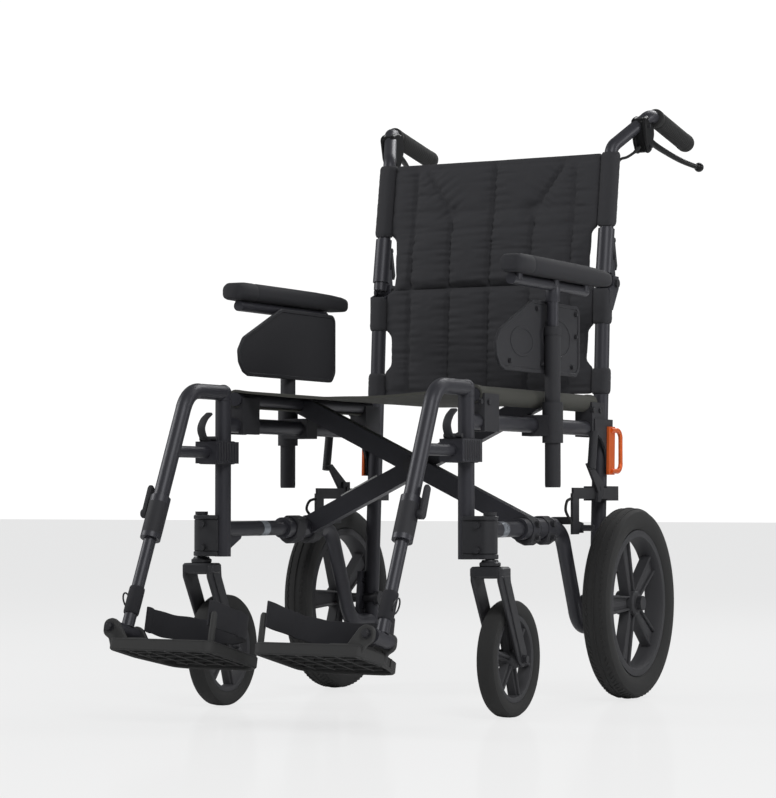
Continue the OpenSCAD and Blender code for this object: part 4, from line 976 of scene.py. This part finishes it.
def back_cover(p, name, body, node, outline, seams, edges, middle_y, hand_up):
    """One padded panel that wraps the canes, with stitched channels, puckers and a bound edge."""
    thick = p.back_thickness / MM
    shape = Shape()
    loop = turned(outline)
    place = lambda u, v, w: (u, middle_y(v) + w, v)
    shape.slab(loop, -thick / 2, thick / 2, bevel=3.5, place=place)
    obj = shape.done(name, 1, body, "back_fabric", ["back_fabric"], [node], sharp=180)
    bpy.context.view_layer.objects.active = obj
    remesh = obj.modifiers.new("Remesh", "REMESH")
    remesh.mode, remesh.voxel_size = "VOXEL", 0.0055
    graph = bpy.context.evaluated_depsgraph_get()
    skin = bpy.data.meshes.new_from_object(obj.evaluated_get(graph), depsgraph=graph)
    obj.modifiers.remove(remesh)
    obj.data = skin
    group = obj.vertex_groups.new(name="pinned")
    held = [v.index for v in skin.vertices if abs(v.co.x) > 191 * MM]
    group.add(held, 1.0, "REPLACE")
    puff(obj, p, 9)
    soft = obj.modifiers.new("Soft", "SUBSURF")
    soft.levels = soft.render_levels = 1
    graph = bpy.context.evaluated_depsgraph_get()
    fine = bpy.data.meshes.new_from_object(obj.evaluated_get(graph), depsgraph=graph)
    obj.modifiers.remove(soft)
    obj.data = fine
    obj.vertex_groups.clear()
    draw = random.Random(p.seed)
    puckers = []
    for seam in seams:
        length = math.hypot(seam[1][0] - seam[0][0], seam[1][1] - seam[0][1])
        for hand in (-1, 1):
            at, row = draw.uniform(3, 12), []
            while at < length:
                row.append((at, draw.uniform(18, 58), draw.uniform(1.6, 3.8), draw.uniform(2.4, 4.6)))
                at += draw.uniform(7, 17)
            puckers.append(row)
    for vert in fine.vertices:
        x, z = vert.co.x / MM, vert.co.z / MM
        line = middle_y(z) + POST_Y
        off = vert.co.y / MM - line
        pull = 0.0
        for i, seam in enumerate(seams):
            gap, along = near_line(x, z, *seam)
            if gap < 60:
                pull += 5.4 * math.exp(-((gap / 3.6) ** 2)) + 2.6 * math.exp(-((gap / 15) ** 2))
                hand = (x - seam[0][0]) * (seam[1][1] - seam[0][1]) - (z - seam[0][1]) * (seam[1][0] - seam[0][0]) > 0
                for at, reach, depth, wide in puckers[2 * i + hand]:
                    if gap < reach and abs(along - at) < 14:
                        pull += depth * (1 - gap / reach) * math.exp(-(((along - at) / wide) ** 2))
        for edge in edges:
            gap, along = near_line(x, z, *edge)
            pull += 2.2 * math.exp(-(((gap - 11) / 2.6) ** 2))
        ripple = noise.noise(Vector((x / 60, z / 34, 3))) * 1.4 + noise.noise(Vector((x / 18, z / 11, 7))) * 0.5
        pull = min(pull, abs(off) * 0.75)
        vert.co.y = (line + off - math.copysign(pull - ripple * min(1, abs(off) / 8), off)) * MM
    spots = np.linspace(-180, 180, 61)
    edge_z = np.zeros(len(spots))
    for i, spot in enumerate(spots):
        column = [v.co.z / MM for v in fine.vertices if abs(v.co.x / MM - spot) < 5]
        edge_z[i] = min(column) if hand_up > 0 else max(column)
    edge_z = np.convolve(np.pad(edge_z, 2, "edge"), np.full(5, 0.2), "valid")
    for vert in fine.vertices:
        near = max(0.0, 1 - abs(vert.co.z / MM - BACK_HINGE_Z) / 60)
        vert.co.z += (BACK_HINGE_Z - 1.8 * hand_up - float(np.interp(vert.co.x / MM, spots, edge_z))) * near * MM
    fine.shade_smooth()
    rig.slot(obj, "back_fabric")
    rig.padded(obj, 0.85)
    return obj


def stitched(p, name, body, lines, surface, size=0.0006, pitch=4.4):
    """Stitches along lines given in x and z, laid on a padded panel's back and front."""
    places = []
    for (x0, z0), (x1, z1) in lines:
        count = max(2, int(math.hypot(x1 - x0, z1 - z0) / pitch))
        for i in range(count + 1):
            x, z = x0 + (x1 - x0) * i / count, z0 + (z1 - z0) * i / count
            hit = surface(x, z)
            if hit:
                places.append(hit)
    if places:
        repeated("stitch", name, body, "webbing", "thread", places, 1, size=size)


def build_back(p):
    upper = rounded([(-197, 914, 3), (-197, 787, 2), (-186, 784, 8), (-184, 690.2, 3), (184, 690.2, 3), (186, 784, 8), (197, 787, 2), (197, 914, 3)], 6, 5)
    lower = rounded([(-186, 689.8, 3), (-197, 681, 2), (-197, 620, 2), (-187, 614, 8), (-184, 560, 8), (-197, 547, 2),
        (-197, 503, 3), (197, 503, 3), (197, 547, 2), (184, 560, 8), (187, 614, 8), (197, 620, 2), (197, 681, 2), (186, 689.8, 3)], 6, 5)
    upper_seams, lower_seams = [], [((0, 503), (0, 689))]
    for x in (-1, 1):
        upper_seams += [((x * 150, 914), (x * 150, 691)), ((x * 139, 914), (x * 78, 822)), ((x * 78, 822), (x * 75, 691))]
        lower_seams += [((x * 150, 503), (x * 150, 689)), ((x * 75, 503), (x * 75, 689))]
    upper_seams.append(((0, 700), (0, 914)))
    pieces = (
        ("back_pad_upper", "left_cane", "back_upper", upper, upper_seams, [((-228, 914), (228, 914))], cane_y, 1),
        ("back_pad_lower", "left_frame", "back_lower", lower, lower_seams, [((-226, 503), (226, 503))], post_y, -1),
    )
    made = []
    for name, body, node, outline, seams, edges, line, hand_up in pieces:
        made.append(back_cover(p, name, body, node, outline, seams, edges, line, hand_up))
    for s, side in SIDES:
        for name, body, line, z0, z1 in (
            ("top", s + "_cane", cane_y, 787, 914),
            ("middle", s + "_frame", post_y, 621, 680),
            ("low", s + "_frame", post_y, 503, 546),
        ):
            draw = random.Random(p.seed + z0)
            rings = []
            steps = int((z1 - z0) / 3)
            for i in range(steps + 1):
                z = z0 + (z1 - z0) * i / steps
                end = min(i, steps - i)
                swell = (0.9, 0.98, 1.02)[min(end, 2)] + draw.uniform(-0.012, 0.012)
                section = pill(31 * swell, 28.6 * swell, 13, 6)
                rings.append([(211.4 + u - 0.6, line(z) + v, z) for u, v in section])
            sleeve = Shape().rings(rings).done(
                "%s_%s_sleeve" % (s, name), side, body, "back_fabric", ["back_fabric"], sharp=70)
            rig.padded(sleeve, 0.7)
    for obj, z, keep in zip(made, (0.8, 0.6), (0.3, 0.285)):
        line = cane_y if obj is made[0] else post_y
        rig.squash(obj, "fold", (1, 0, 0), ((SIDE_X - 14) * MM, (line(z / MM) + POST_Y) * MM, z), keep)


def build_seat(p):
    low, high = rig.box("seat_sling")
    y0, y1 = low.y / MM - POST_Y, high.y / MM - POST_Y
    rings = []
    steps = 30
    def line(x):
        return 496.4 + 1.2 - 14 * (1 - (x / SEAT_RAIL_X) ** 2)
    top, bottom = [], []
    wrap = [(SEAT_RAIL_X + 14.2 * math.sin(t), SEAT_RAIL_Z + 14.2 * math.cos(t)) for t in (math.pi * i / 12 * 1.15 for i in range(13))]
    inner = [(SEAT_RAIL_X + 11.6 * math.sin(t), SEAT_RAIL_Z + 11.6 * math.cos(t)) for t in (math.pi * i / 12 * 1.15 for i in range(13))]
    flat = [(-200 + 400 * i / steps) for i in range(steps + 1)]
    outer = [(-x, z) for x, z in wrap[::-1]] + [(x, line(x) + 1.4) for x in flat] + wrap
    under = [(-x, z) for x, z in inner[::-1]] + [(x, line(x) - 1.3) for x in flat] + inner
    section = outer + under[::-1]
    ys = [y0 + (y1 - y0) * t for t in [0, 0.004] + [i / 36 for i in range(1, 36)] + [0.996, 1]]
    for y in ys:
        t = (y - y0) / (y1 - y0)
        hem = 1.2 if t < 0.04 or t > 0.96 else 0
        ring = []
        for i, (x, z) in enumerate(section):
            wave_z = noise.noise(Vector((x / 50, y / 70, 1))) * 1.1 * (1 - (abs(x) / 214) ** 4)
            wave_z += noise.noise(Vector((x / 14, y / 150, 4))) * 0.5 * max(0, abs(x) / 214 - 0.4)
            up = hem if i < len(outer) else 0
            ring.append((x, y, z + (wave_z if abs(x) < 200 else 0) + up))
        rings.append(ring)
    seat = Shape().rings(rings).done("seat_cloth", 1, "brace_front", "seat_fabric", ["seat_fabric"], ["seat_sling"], sharp=50, ride=False)
    across = sum((Vector(a) - Vector(b)).length for a, b in zip(outer, outer[1:]))
    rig.sheet(seat, flat=(across * MM, (y1 - y0) * MM), held="stretched", rests_on=("cross_arm_front", "cross_arm_rear"))
    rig.blend(seat, "brace_front", "brace_rear", (-0.2, 0, 0), (0.2, 0, 0))
    return seat


# ---- Legs and feet ----


def build_legs(p):
    for s, side in SIDES:
        latch = Shape()
        strap = smooth_path([(SIDE_X, -42, 419), (SIDE_X, -58, 422), (SIDE_X, -66, 436), (SIDE_X, -58, 450), (SIDE_X, -42, 460)], 6)
        widths = [(6.6 - 1.4 * abs(i / (len(strap) - 1) - 0.4), 1) for i in range(len(strap))]
        latch.sweep(strap, pill(2, 5, 1, 3), (1, 0, 0), widths)
        latch.tube([(SIDE_X - 15, -44, 421.4), (SIDE_X + 15, -44, 421.4)], 3.6, 16)
        latch.done(s + "_release_strap", side, s + "_hanger_latch", "black_plastic", ["black_plastic"], [s + "_hanger_latch"])
        grips = Shape()
        for y in (-44, -36, -28, -20, -12, -4, 4):
            grips.slab(pill(41, 36.4, 6, 4), y, y + 3.6, "y", 1.2, place=lambda u, v, w: (SIDE_X + u, w, 400 + v))
        grips.done(s + "_latch_ribs", side, s + "_hanger", "black_plastic", ["black_plastic"])
        turned_lever = Shape()
        top = leg_point(306)
        turned_lever.lathe([(0, 0.4), (6.4, 0.4), (7.2, 1.6), (7.2, 8), (6, 9.6), (0, 9.6)], (top.x + 16, top.y, top.z), (1, 0, 0), 24)
        turned_lever.slab(rounded([(top.y - 8, 300, 7), (top.y + 8, 298, 7), (top.y + 27, 345, 6), (top.y + 15, 351, 6)], 5, 5), top.x + 18.4, top.x + 25.4, "x", 2)
        turned_lever.done(s + "_height_lever", side, s + "_length_lever", "black_plastic", ["black_plastic"], [s + "_length_lever"])
        collar = Shape()
        low, high = leg_point(270), leg_point(328)
        steps = [low + (high - low) * t for t in (0, 0.03, 0.1, 0.5, 0.86, 0.95, 1)]
        collar.tube(steps, [13.4, 15.2, 15.6, 15.6, 15.6, 14.8, 13.2], 32)
        collar.done(s + "_leg_collar", side, s + "_hanger", "black_plastic", ["black_plastic"])
        wrap = Shape()
        low, high = leg_point(158), leg_point(197)
        steps = [low + (high - low) * t for t in (0, 0.02, 0.08, 0.5, 0.92, 0.98, 1)]
        wrap.tube(steps, [10.4, 11.2, 11.7, 11.9, 11.7, 11.2, 10.4], 28)
        wrap.done(s + "_strap_wrap", side, s + "_leg_tube", "webbing", ["webbing"])
        ring = Shape()
        mid = leg_point(178)
        loop = [mid + Vector((13 + 3 * math.cos(t), 9 * math.sin(t), 11 * math.cos(t))) for t in (TAU * i / 24 for i in range(24))]
        ring.sweep(loop + loop[:1], circle(1.3, 8))
        ring.done(s + "_buckle", side, s + "_leg_tube", "housing_black", ["housing_black"])


def build_feet(p):
    for s, side in SIDES:
        plate = Shape()
        x0, x1 = 33, 209
        outline = rounded([(x0, -42.6, 16), (x1 - 4, -42.6, 12), (x1 - 1, -30, 8), (x1 - 1, 30, 20), (x1 - 22, 112, 26), (x1 - 46, 120, 24), (x0 + 26, 120, 26), (x0, 96, 24)], 14, 6)
        place = lambda u, v, w: on_foot(u, v, w)
        rim = inset(turned(outline), 6)
        hole = circle(4.8, 16, (41, -31))
        plate.slab(outline, -20, -16.9, bevel=1.0, place=place, holes=[hole])
        plate.slab(outline, -34, -16.3, bevel=2.2, place=place, holes=[rim])
        for i in range(5):
            y = -26 + 30 * i
            reach = 0 if y < 90 else 14
            plate.slab([(x0 + 4, y), (x1 - 8 - 2 * reach, y), (x1 - 8 - 2 * reach, y + 3), (x0 + 4, y + 3)], -30, -18, bevel=0.5, place=place)
        for i in range(5):
            x = x0 + 26 + 32 * i
            plate.slab([(x, -38), (x + 3, -38), (x + 3, 100 if i < 4 else 84), (x, 100 if i < 4 else 84)], -31, -18, bevel=0.5, place=place)
        for y in range(8):
            plate.slab(rounded([(x0 + 26, -20 + 15 * y), (x1 - 30, -20 + 15 * y), (x1 - 30, -17 + 15 * y), (x0 + 26, -17 + 15 * y)], 1.4, 3), -18.2, -16.0, bevel=0.5, place=place)
        ear = [(180, -30, 4), (180, -18, 4), (198, 8, 6), (207, 14, 10), (222, 10, 12), (222, -10, 12), (211, -17, 6), (206, -30, 3)]
        for low, high in ((-37.4, -29.6), (29.6, 37.4)):
            plate.slab(rounded(ear, 5, 5), low, high, bevel=1.2, place=lambda u, v, w: on_foot(u, w, v), holes=[circle(5.2, 20, (211, 0))])
        plate.slab(rounded([(150, -34), (206, -34), (206, 37.4), (150, 37.4)], 5, 4), -18, -14, bevel=1.2, place=place)
        pin = [on_foot(41, -31, z) for z in (-14.5, 22, 24.4, 27)]
        plate.tube([on_foot(41, -31, -22), pin[1], pin[2], pin[3]], [4.7, 4.7, 4.2, 2.6], 20)
        plate.done(s + "_foot_rest", side, s + "_footplate", "plate_plastic", ["plate_plastic"], [s + "_footplate"])
        bolt = [(on_foot(211, 38, 0), on_foot(0, 1, 0) - on_foot(0, 0, 0)), (on_foot(211, -38, 0), on_foot(0, -1, 0) - on_foot(0, 0, 0))]
        repeated("bolt", s + "_foot_bolt", s + "_footplate", "housing_black", "housing_black", bolt, side, size=0.011, height=0.005)
        path = [(48, -35, 0), (47.6, 0, 0), (47.8, 45, 0)]
        for i in range(13):
            t = math.pi * i / 12
            path.append((121 - 73.4 * math.cos(t), 52 + 71 * math.sin(t) ** 0.85, 0))
        path += [(194.4, 45, 0), (195, 32, 0)]
        curve = smooth_path([(x, y, 25) for x, y, _ in path], 4)
        strap = Shape()
        section = pill(37.4, 2.8, 1.2, 3)
        sag = [1 + 0.03 * math.sin(i * 0.7) for i in range(len(curve))]
        rings = []
        for i, (pt, up, out) in enumerate(frames(curve, (0, 0, 1))):
            droop = 1.6 * math.sin(math.pi * i / len(curve))
            rings.append([on_foot(*(pt + up * (u * sag[i] - droop) + out * v)) for u, v in section])
        strap.rings(rings)
        loop = strap.done(s + "_heel_loop", side, s + "_footplate", "webbing", ["webbing"], [s + "_heel_strap"], sharp=50)
        upper_edge = (on_foot(side * SIDE_X, 0, 44) + Vector((0, POST_Y, 0))) * MM
        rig.squash(loop, s + "_foot_flip", on_foot(0, 0, 1) - on_foot(0, 0, 0), upper_edge, 0.55)


# ---- Handles ----


def build_handles(p):
    for s, side in SIDES:
        body = s + "_cane"
        c, d = math.cos(math.radians(10)), math.sin(math.radians(10))
        grip_at = lambda t, z=0.0: Vector((252, 663.6 + t * c + z * d, 983 - t * d + z * c))
        grip = Shape()
        stations, sizes = [], []
        for t, r in ((0.3, 14.2), (1.6, 15.8), (6, 16), (11, 16), (12.4, 14.6), (15, 14.5), (16.4, 15.4)):
            stations.append(t)
            sizes.append(r)
        t = 18.0
        while t < 138:
            stations += [t, t + 1.6, t + 4.2, t + 5.8]
            sizes += [14.7, 15.5, 15.5, 14.7]
            t += 6.6
        for t, r in ((141, 15.2), (143, 16), (152, 16), (156, 15.2), (157.6, 13)):
            stations.append(t)
            sizes.append(r)
        grip.tube([grip_at(t) for t in stations], sizes, 36)
        grip.done(s + "_hand_grip", side, body, "grip_rubber", ["grip_rubber"], [s + "_grip"], sharp=50)
        cap = Shape().tube([grip_at(t) for t in (156.4, 157.9, 158.4)], [8, 7.4, 5.6], 24)
        cap.done(s + "_grip_plug", side, body, "black_plastic", ["black_plastic"])
        casing = Shape()
        tear = rounded([(612, 975, 10), (634, 983, 10), (657, 982, 9), (661.6, 952, 14), (648, 922, 8), (634, 917.4, 6), (622, 936, 14)], 8, 6)
        for low, high in ((228.2, 235.6), (246.4, 253.8)):
            casing.slab(tear, low, high, "x", 2.4)
        casing.slab(inset(turned(tear), 1.2), 235, 247, "x", 0.4)
        casing.slab(inset(turned(tear), 9), 253, 254, "x", 0.6)
        casing.done(s + "_brake_case", side, body, "black_plastic", ["brake_plastic"], [s + "_brake_housing"])
        screws = [((254, y, z), (1, 0, 0)) for y, z in ((634, 964), (642, 930))]
        repeated("bolt", s + "_brake_screws", body, "housing_black", "housing_black", screws, side, size=0.006, height=0.0022)
        lever = Shape()
        route = smooth_path([(241, 655, 949), (243, 684, 940), (250, 716, 931), (262, 758, 920), (275, 790, 913), (281, 800, 911)], 6)
        n = len(route)
        lever.sweep(route, pill(2, 2, 0.9, 4), (1, 0, 0), [(4.6 - 0.8 * math.sin(math.pi * i / n), 6.2 - 2.2 * i / n) for i in range(n)])
        ball = Vector((281, 803, 911))
        lever.lathe([(8.4 * math.sin(math.pi * i / 16), -8.4 * math.cos(math.pi * i / 16)) for i in range(17)], ball, (0.35, 0.87, -0.3), 28)
        lever.lathe([(0, -12), (5.2, -12), (6, -11), (6, 11), (5.2, 12), (0, 12)], (241, 653.8, 949), (1, 0, 0), 24)
        lever.done(s + "_pull_lever", side, s + "_brake_lever", "black_plastic", ["brake_plastic"], [s + "_brake_lever"])
        cable = Shape()
        points = [(241, 625.3, 928.1), (237, 613.8, 919), (227, 601.8, 909), (217, 591.8, 903), (213, 583.3, 881), (212, 578.8, 849), (212, 571.5, 800), (212, 569.5, 784)]
        cable.tube(smooth_path(points, 6), 2.4, 12)
        cable.tube([(239.5, 621.3, 925), (236, 612.5, 918)], [3.4, 2.9], 12)
        cable.done(s + "_brake_cord", side, body, "cable_black", ["cable_black"], [s + "_brake_cable"])


# ---- Small fittings ----


def build_fittings(p):
    for s, side in SIDES:
        brace = "brace_front" if side > 0 else "brace_rear"
        block = Shape()
        for y0, y1 in ((206, 236), (266, 296)):
            outline = rounded([(188, 296, 8), (206, 301, 8), (216, 301, 8), (226.5, 290, 8), (226.5, 262, 8), (214, 254, 8), (196, 262, 10)], 6, 5)
            block.slab(outline, y0, y1, "y", 1.6, holes=[circle(16.6, 32, (211, 281))])
        block.done(s + "_brace_clamps", side, brace, "black_plastic", ["black_plastic"])
        bolts = [((226.8, y, z), (1, 0, 0)) for y, z in ((221, 288), (221, 266), (281, 288), (281, 266))]
        repeated("bolt", s + "_clamp_bolts", brace, "housing_black", "housing_black", bolts, side, size=0.0085, height=0.005)
        rail_bolts = [((224, y, z), (1, 0, 0)) for y, z in ((20, 474), (48, 474), (452, 474), (480, 474))]
        repeated("bolt", s + "_saddle_bolts", s + "_frame", "housing_black", "housing_black", rail_bolts, side, size=0.008, height=0.0035)
        loop = smooth_path([(232, 398, 284), (233, 372, 279), (234, 350, 284), (235, 326, 300), (236, 314, 311), (235, 322, 324), (233, 340, 328)], 6)
        Shape().tube(loop, 2.3, 12).done(s + "_lock_cord", side, s + "_frame", "cable_black", ["cable_black"])
        band_ring = Shape().tube([(SIDE_X, 110, LOWER_RAIL_Z), (SIDE_X, 130, LOWER_RAIL_Z)], 12.25, 40)
        band_ring.done(s + "_rail_sticker", side, s + "_frame", "frame_paint", ["sticker_blue"])
    label = Shape()
    a, b = Vector((-141, 255.6, 326)), Vector((-75, 255.6, 359))
    along = (b - a).normalized()
    across = Vector((-along.z, 0, along.x))
    box = [a - across * 9, b - across * 9, b + across * 9, a + across * 9]
    label.slab([(q.x, q.z) for q in box], 265.9, 266.7, "y", 0.15)
    label.done("blank_label", 1, "brace_rear", "frame_paint", ["label_white"])


# ---- Stage ----


def build_stage(p):
    scene = bpy.context.scene
    world = bpy.data.worlds.new("Studio")
    scene.world = world
    scene.view_settings.view_transform = "Standard"
    world.use_nodes = True
    g = Graph(world.node_tree)
    lit = g.node("ShaderNodeBackground", None, {"Color": (0.96, 0.98, 1.0, 1), "Strength": 0.22})
    seen = g.node("ShaderNodeBackground", None, {"Color": (1, 1, 1, 1), "Strength": 1.05})
    eye = g.node("ShaderNodeLightPath").output("Is Camera Ray")
    g.node("ShaderNodeOutputWorld", None, {"Surface": g.node("ShaderNodeMixShader", None, {0: eye, 1: lit, 2: seen})})
    bpy.ops.mesh.primitive_grid_add(x_subdivisions=8, y_subdivisions=8, size=60, location=(0, 0, 0))
    floor = bpy.context.object
    floor.name = "floor"
    mat = bpy.data.materials.new("floor_white")
    mat.use_nodes = True
    f = Graph(mat.node_tree)
    spot = f.node("ShaderNodeTexCoord").output("Object")
    tone = mixed(f, noise_at(f, spot, 2), (0.9, 0.9, 0.9, 1), (0.93, 0.93, 0.93, 1))
    shader = f.node("ShaderNodeBsdfPrincipled", None, {"Base Color": tone, "Roughness": 0.14})
    glow = f.node("ShaderNodeEmission", None, {"Color": (1, 1, 1, 1), "Strength": 1.0})
    seen = f.node("ShaderNodeLightPath").output("Is Camera Ray") * 0.74
    shader = f.node("ShaderNodeMixShader", None, {0: seen, 1: shader, 2: glow})
    f.node("ShaderNodeOutputMaterial", None, {"Surface": shader})
    floor.data.materials.append(mat)
    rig.stage(floor)
    lights = (
        ((2.2, -2.4, 2.6), 1.5, 62, (0, 0, 0.5)),
        ((-2.8, -1.0, 2.0), 1.2, 40, (0, 0, 0.5)),
        ((0.4, 2.6, 2.8), 1.8, 50, (0, 0, 0.6)),
        ((3.0, 1.2, 1.4), 0.8, 22, (0, 0, 0.4)),
    )
    for i, (at, size, power, aim) in enumerate(lights):
        data = bpy.data.lights.new("Softbox_%d" % i, "AREA")
        data.shape, data.size, data.energy = "DISK", size, power
        lamp = bpy.data.objects.new(data.name, data)
        lamp.location = at
        lamp.rotation_euler = (Vector(aim) - Vector(at)).to_track_quat("-Z", "Y").to_euler()
        scene.collection.objects.link(lamp)
        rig.stage(lamp)
    turn, tilt = math.radians(27.307), math.radians(2.168)
    cam = bpy.data.objects.new("Camera", bpy.data.cameras.new("Camera"))
    cam.data.lens, cam.data.sensor_width = 118.1, 36
    cam.data.clip_end = 200
    cam.location = (1.8999, -3.7704, 0.3292)
    look_along = Vector((-math.sin(turn) * math.cos(tilt), math.cos(turn) * math.cos(tilt), math.sin(tilt)))
    cam.rotation_euler = look_along.to_track_quat("-Z", "Y").to_euler()
    scene.collection.objects.link(cam)
    scene.camera = cam
    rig.stage(cam)


KEPT = {
    "side_frame": "frame_paint", "rail_fittings": "black_plastic", "hardware": "housing_black", "tie_down": "orange_paint",
    "lock_mount": "housing_black", "cane": "frame_paint", "back_latch": "housing_black", "hanger": "frame_paint",
    "leg_tube": "frame_paint", "lock_lever": "black_plastic",
}


def build_frame_looks(p):
    """Gives the CAD bodies that stay in view their finishes."""
    looks = {s + "_" + name: shade for name, shade in KEPT.items() for s, _ in SIDES}
    looks.update({"cross_arm_front": "frame_paint", "cross_arm_rear": "frame_paint", "cross_pivot": "housing_black"})
    for node, shade in looks.items():
        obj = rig.node(node) if hasattr(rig, "node") else bpy.data.objects[node]
        obj.data.materials.clear()
        obj.data.materials.append(bpy.data.materials[shade])


# ---- Operators and panel ----


def operator(label, idname, text, build):
    """One operator that builds a group of like pieces."""

    def execute(self, context):
        build(context.scene.wheelchair)
        return {"FINISHED"}

    return type(
        "WHEELCHAIR_OT_" + idname,
        (bpy.types.Operator,),
        {
            "__doc__": text,
            "bl_idname": "wheelchair." + idname,
            "bl_label": label,
            "bl_options": {"REGISTER", "UNDO"},
            "execute": execute,
        },
    )


OPERATORS = [
    operator("Finishes", "finishes", "Make every material from the colours in the panel", make_looks),
    operator("Frame", "frame", "Give the frame's own bodies their finishes", build_frame_looks),
    operator("Rear wheels", "rear_wheels", "Build the rear wheels with spokes and tread", build_rear_wheels),
    operator("Casters", "casters", "Build the front casters, forks and housings", build_casters),
    operator("Armrests", "armrests", "Build the arm pads, arm tubes and side guards", build_arms),
    operator("Back", "back", "Build the padded back in two panels", build_back),
    operator("Seat", "seat", "Stretch the seat cloth between its rails", build_seat),
    operator("Leg rests", "leg_rests", "Build the levers, collars and straps of the leg rests", build_legs),
    operator("Footplates", "footplates", "Build the footplates and heel straps", build_feet),
    operator("Handles", "handles", "Build the grips, brakes and brake cables", build_handles),
    operator("Fittings", "fittings", "Build clamps, bolts, cords and the blank label", build_fittings),
    operator("Stage", "stage", "Set up the floor, the lights and the camera", build_stage),
]


class WHEELCHAIR_PT_panel(bpy.types.Panel):
    """Settings and build buttons of the chair."""

    bl_idname = "WHEELCHAIR_PT_panel"
    bl_label = "Transit wheelchair"
    bl_space_type = "VIEW_3D"
    bl_region_type = "UI"
    bl_category = "Wheelchair"

    def draw(self, context):
        settings = context.scene.wheelchair
        for name in settings.__annotations__:
            self.layout.prop(settings, name)
        for made in OPERATORS:
            self.layout.operator(made.bl_idname)


def register():
    for made in [ChairSettings] + OPERATORS + [WHEELCHAIR_PT_panel]:
        bpy.utils.register_class(made)
    bpy.types.Scene.wheelchair = PointerProperty(type=ChairSettings)


def unregister():
    del bpy.types.Scene.wheelchair
    for made in [WHEELCHAIR_PT_panel] + OPERATORS[::-1] + [ChairSettings]:
        bpy.utils.unregister_class(made)


def main():
    register()
    for made in OPERATORS:
        getattr(bpy.ops.wheelchair, made.bl_idname.split(".")[1])()
    with open(SIZE_FILE, "w") as out:
        plain = [[[float(v) for v in corner] for corner in box] for box in (CAD_BOX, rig.bounds())]
        json.dump(plain, out)


if __name__ == "__main__":
    main()
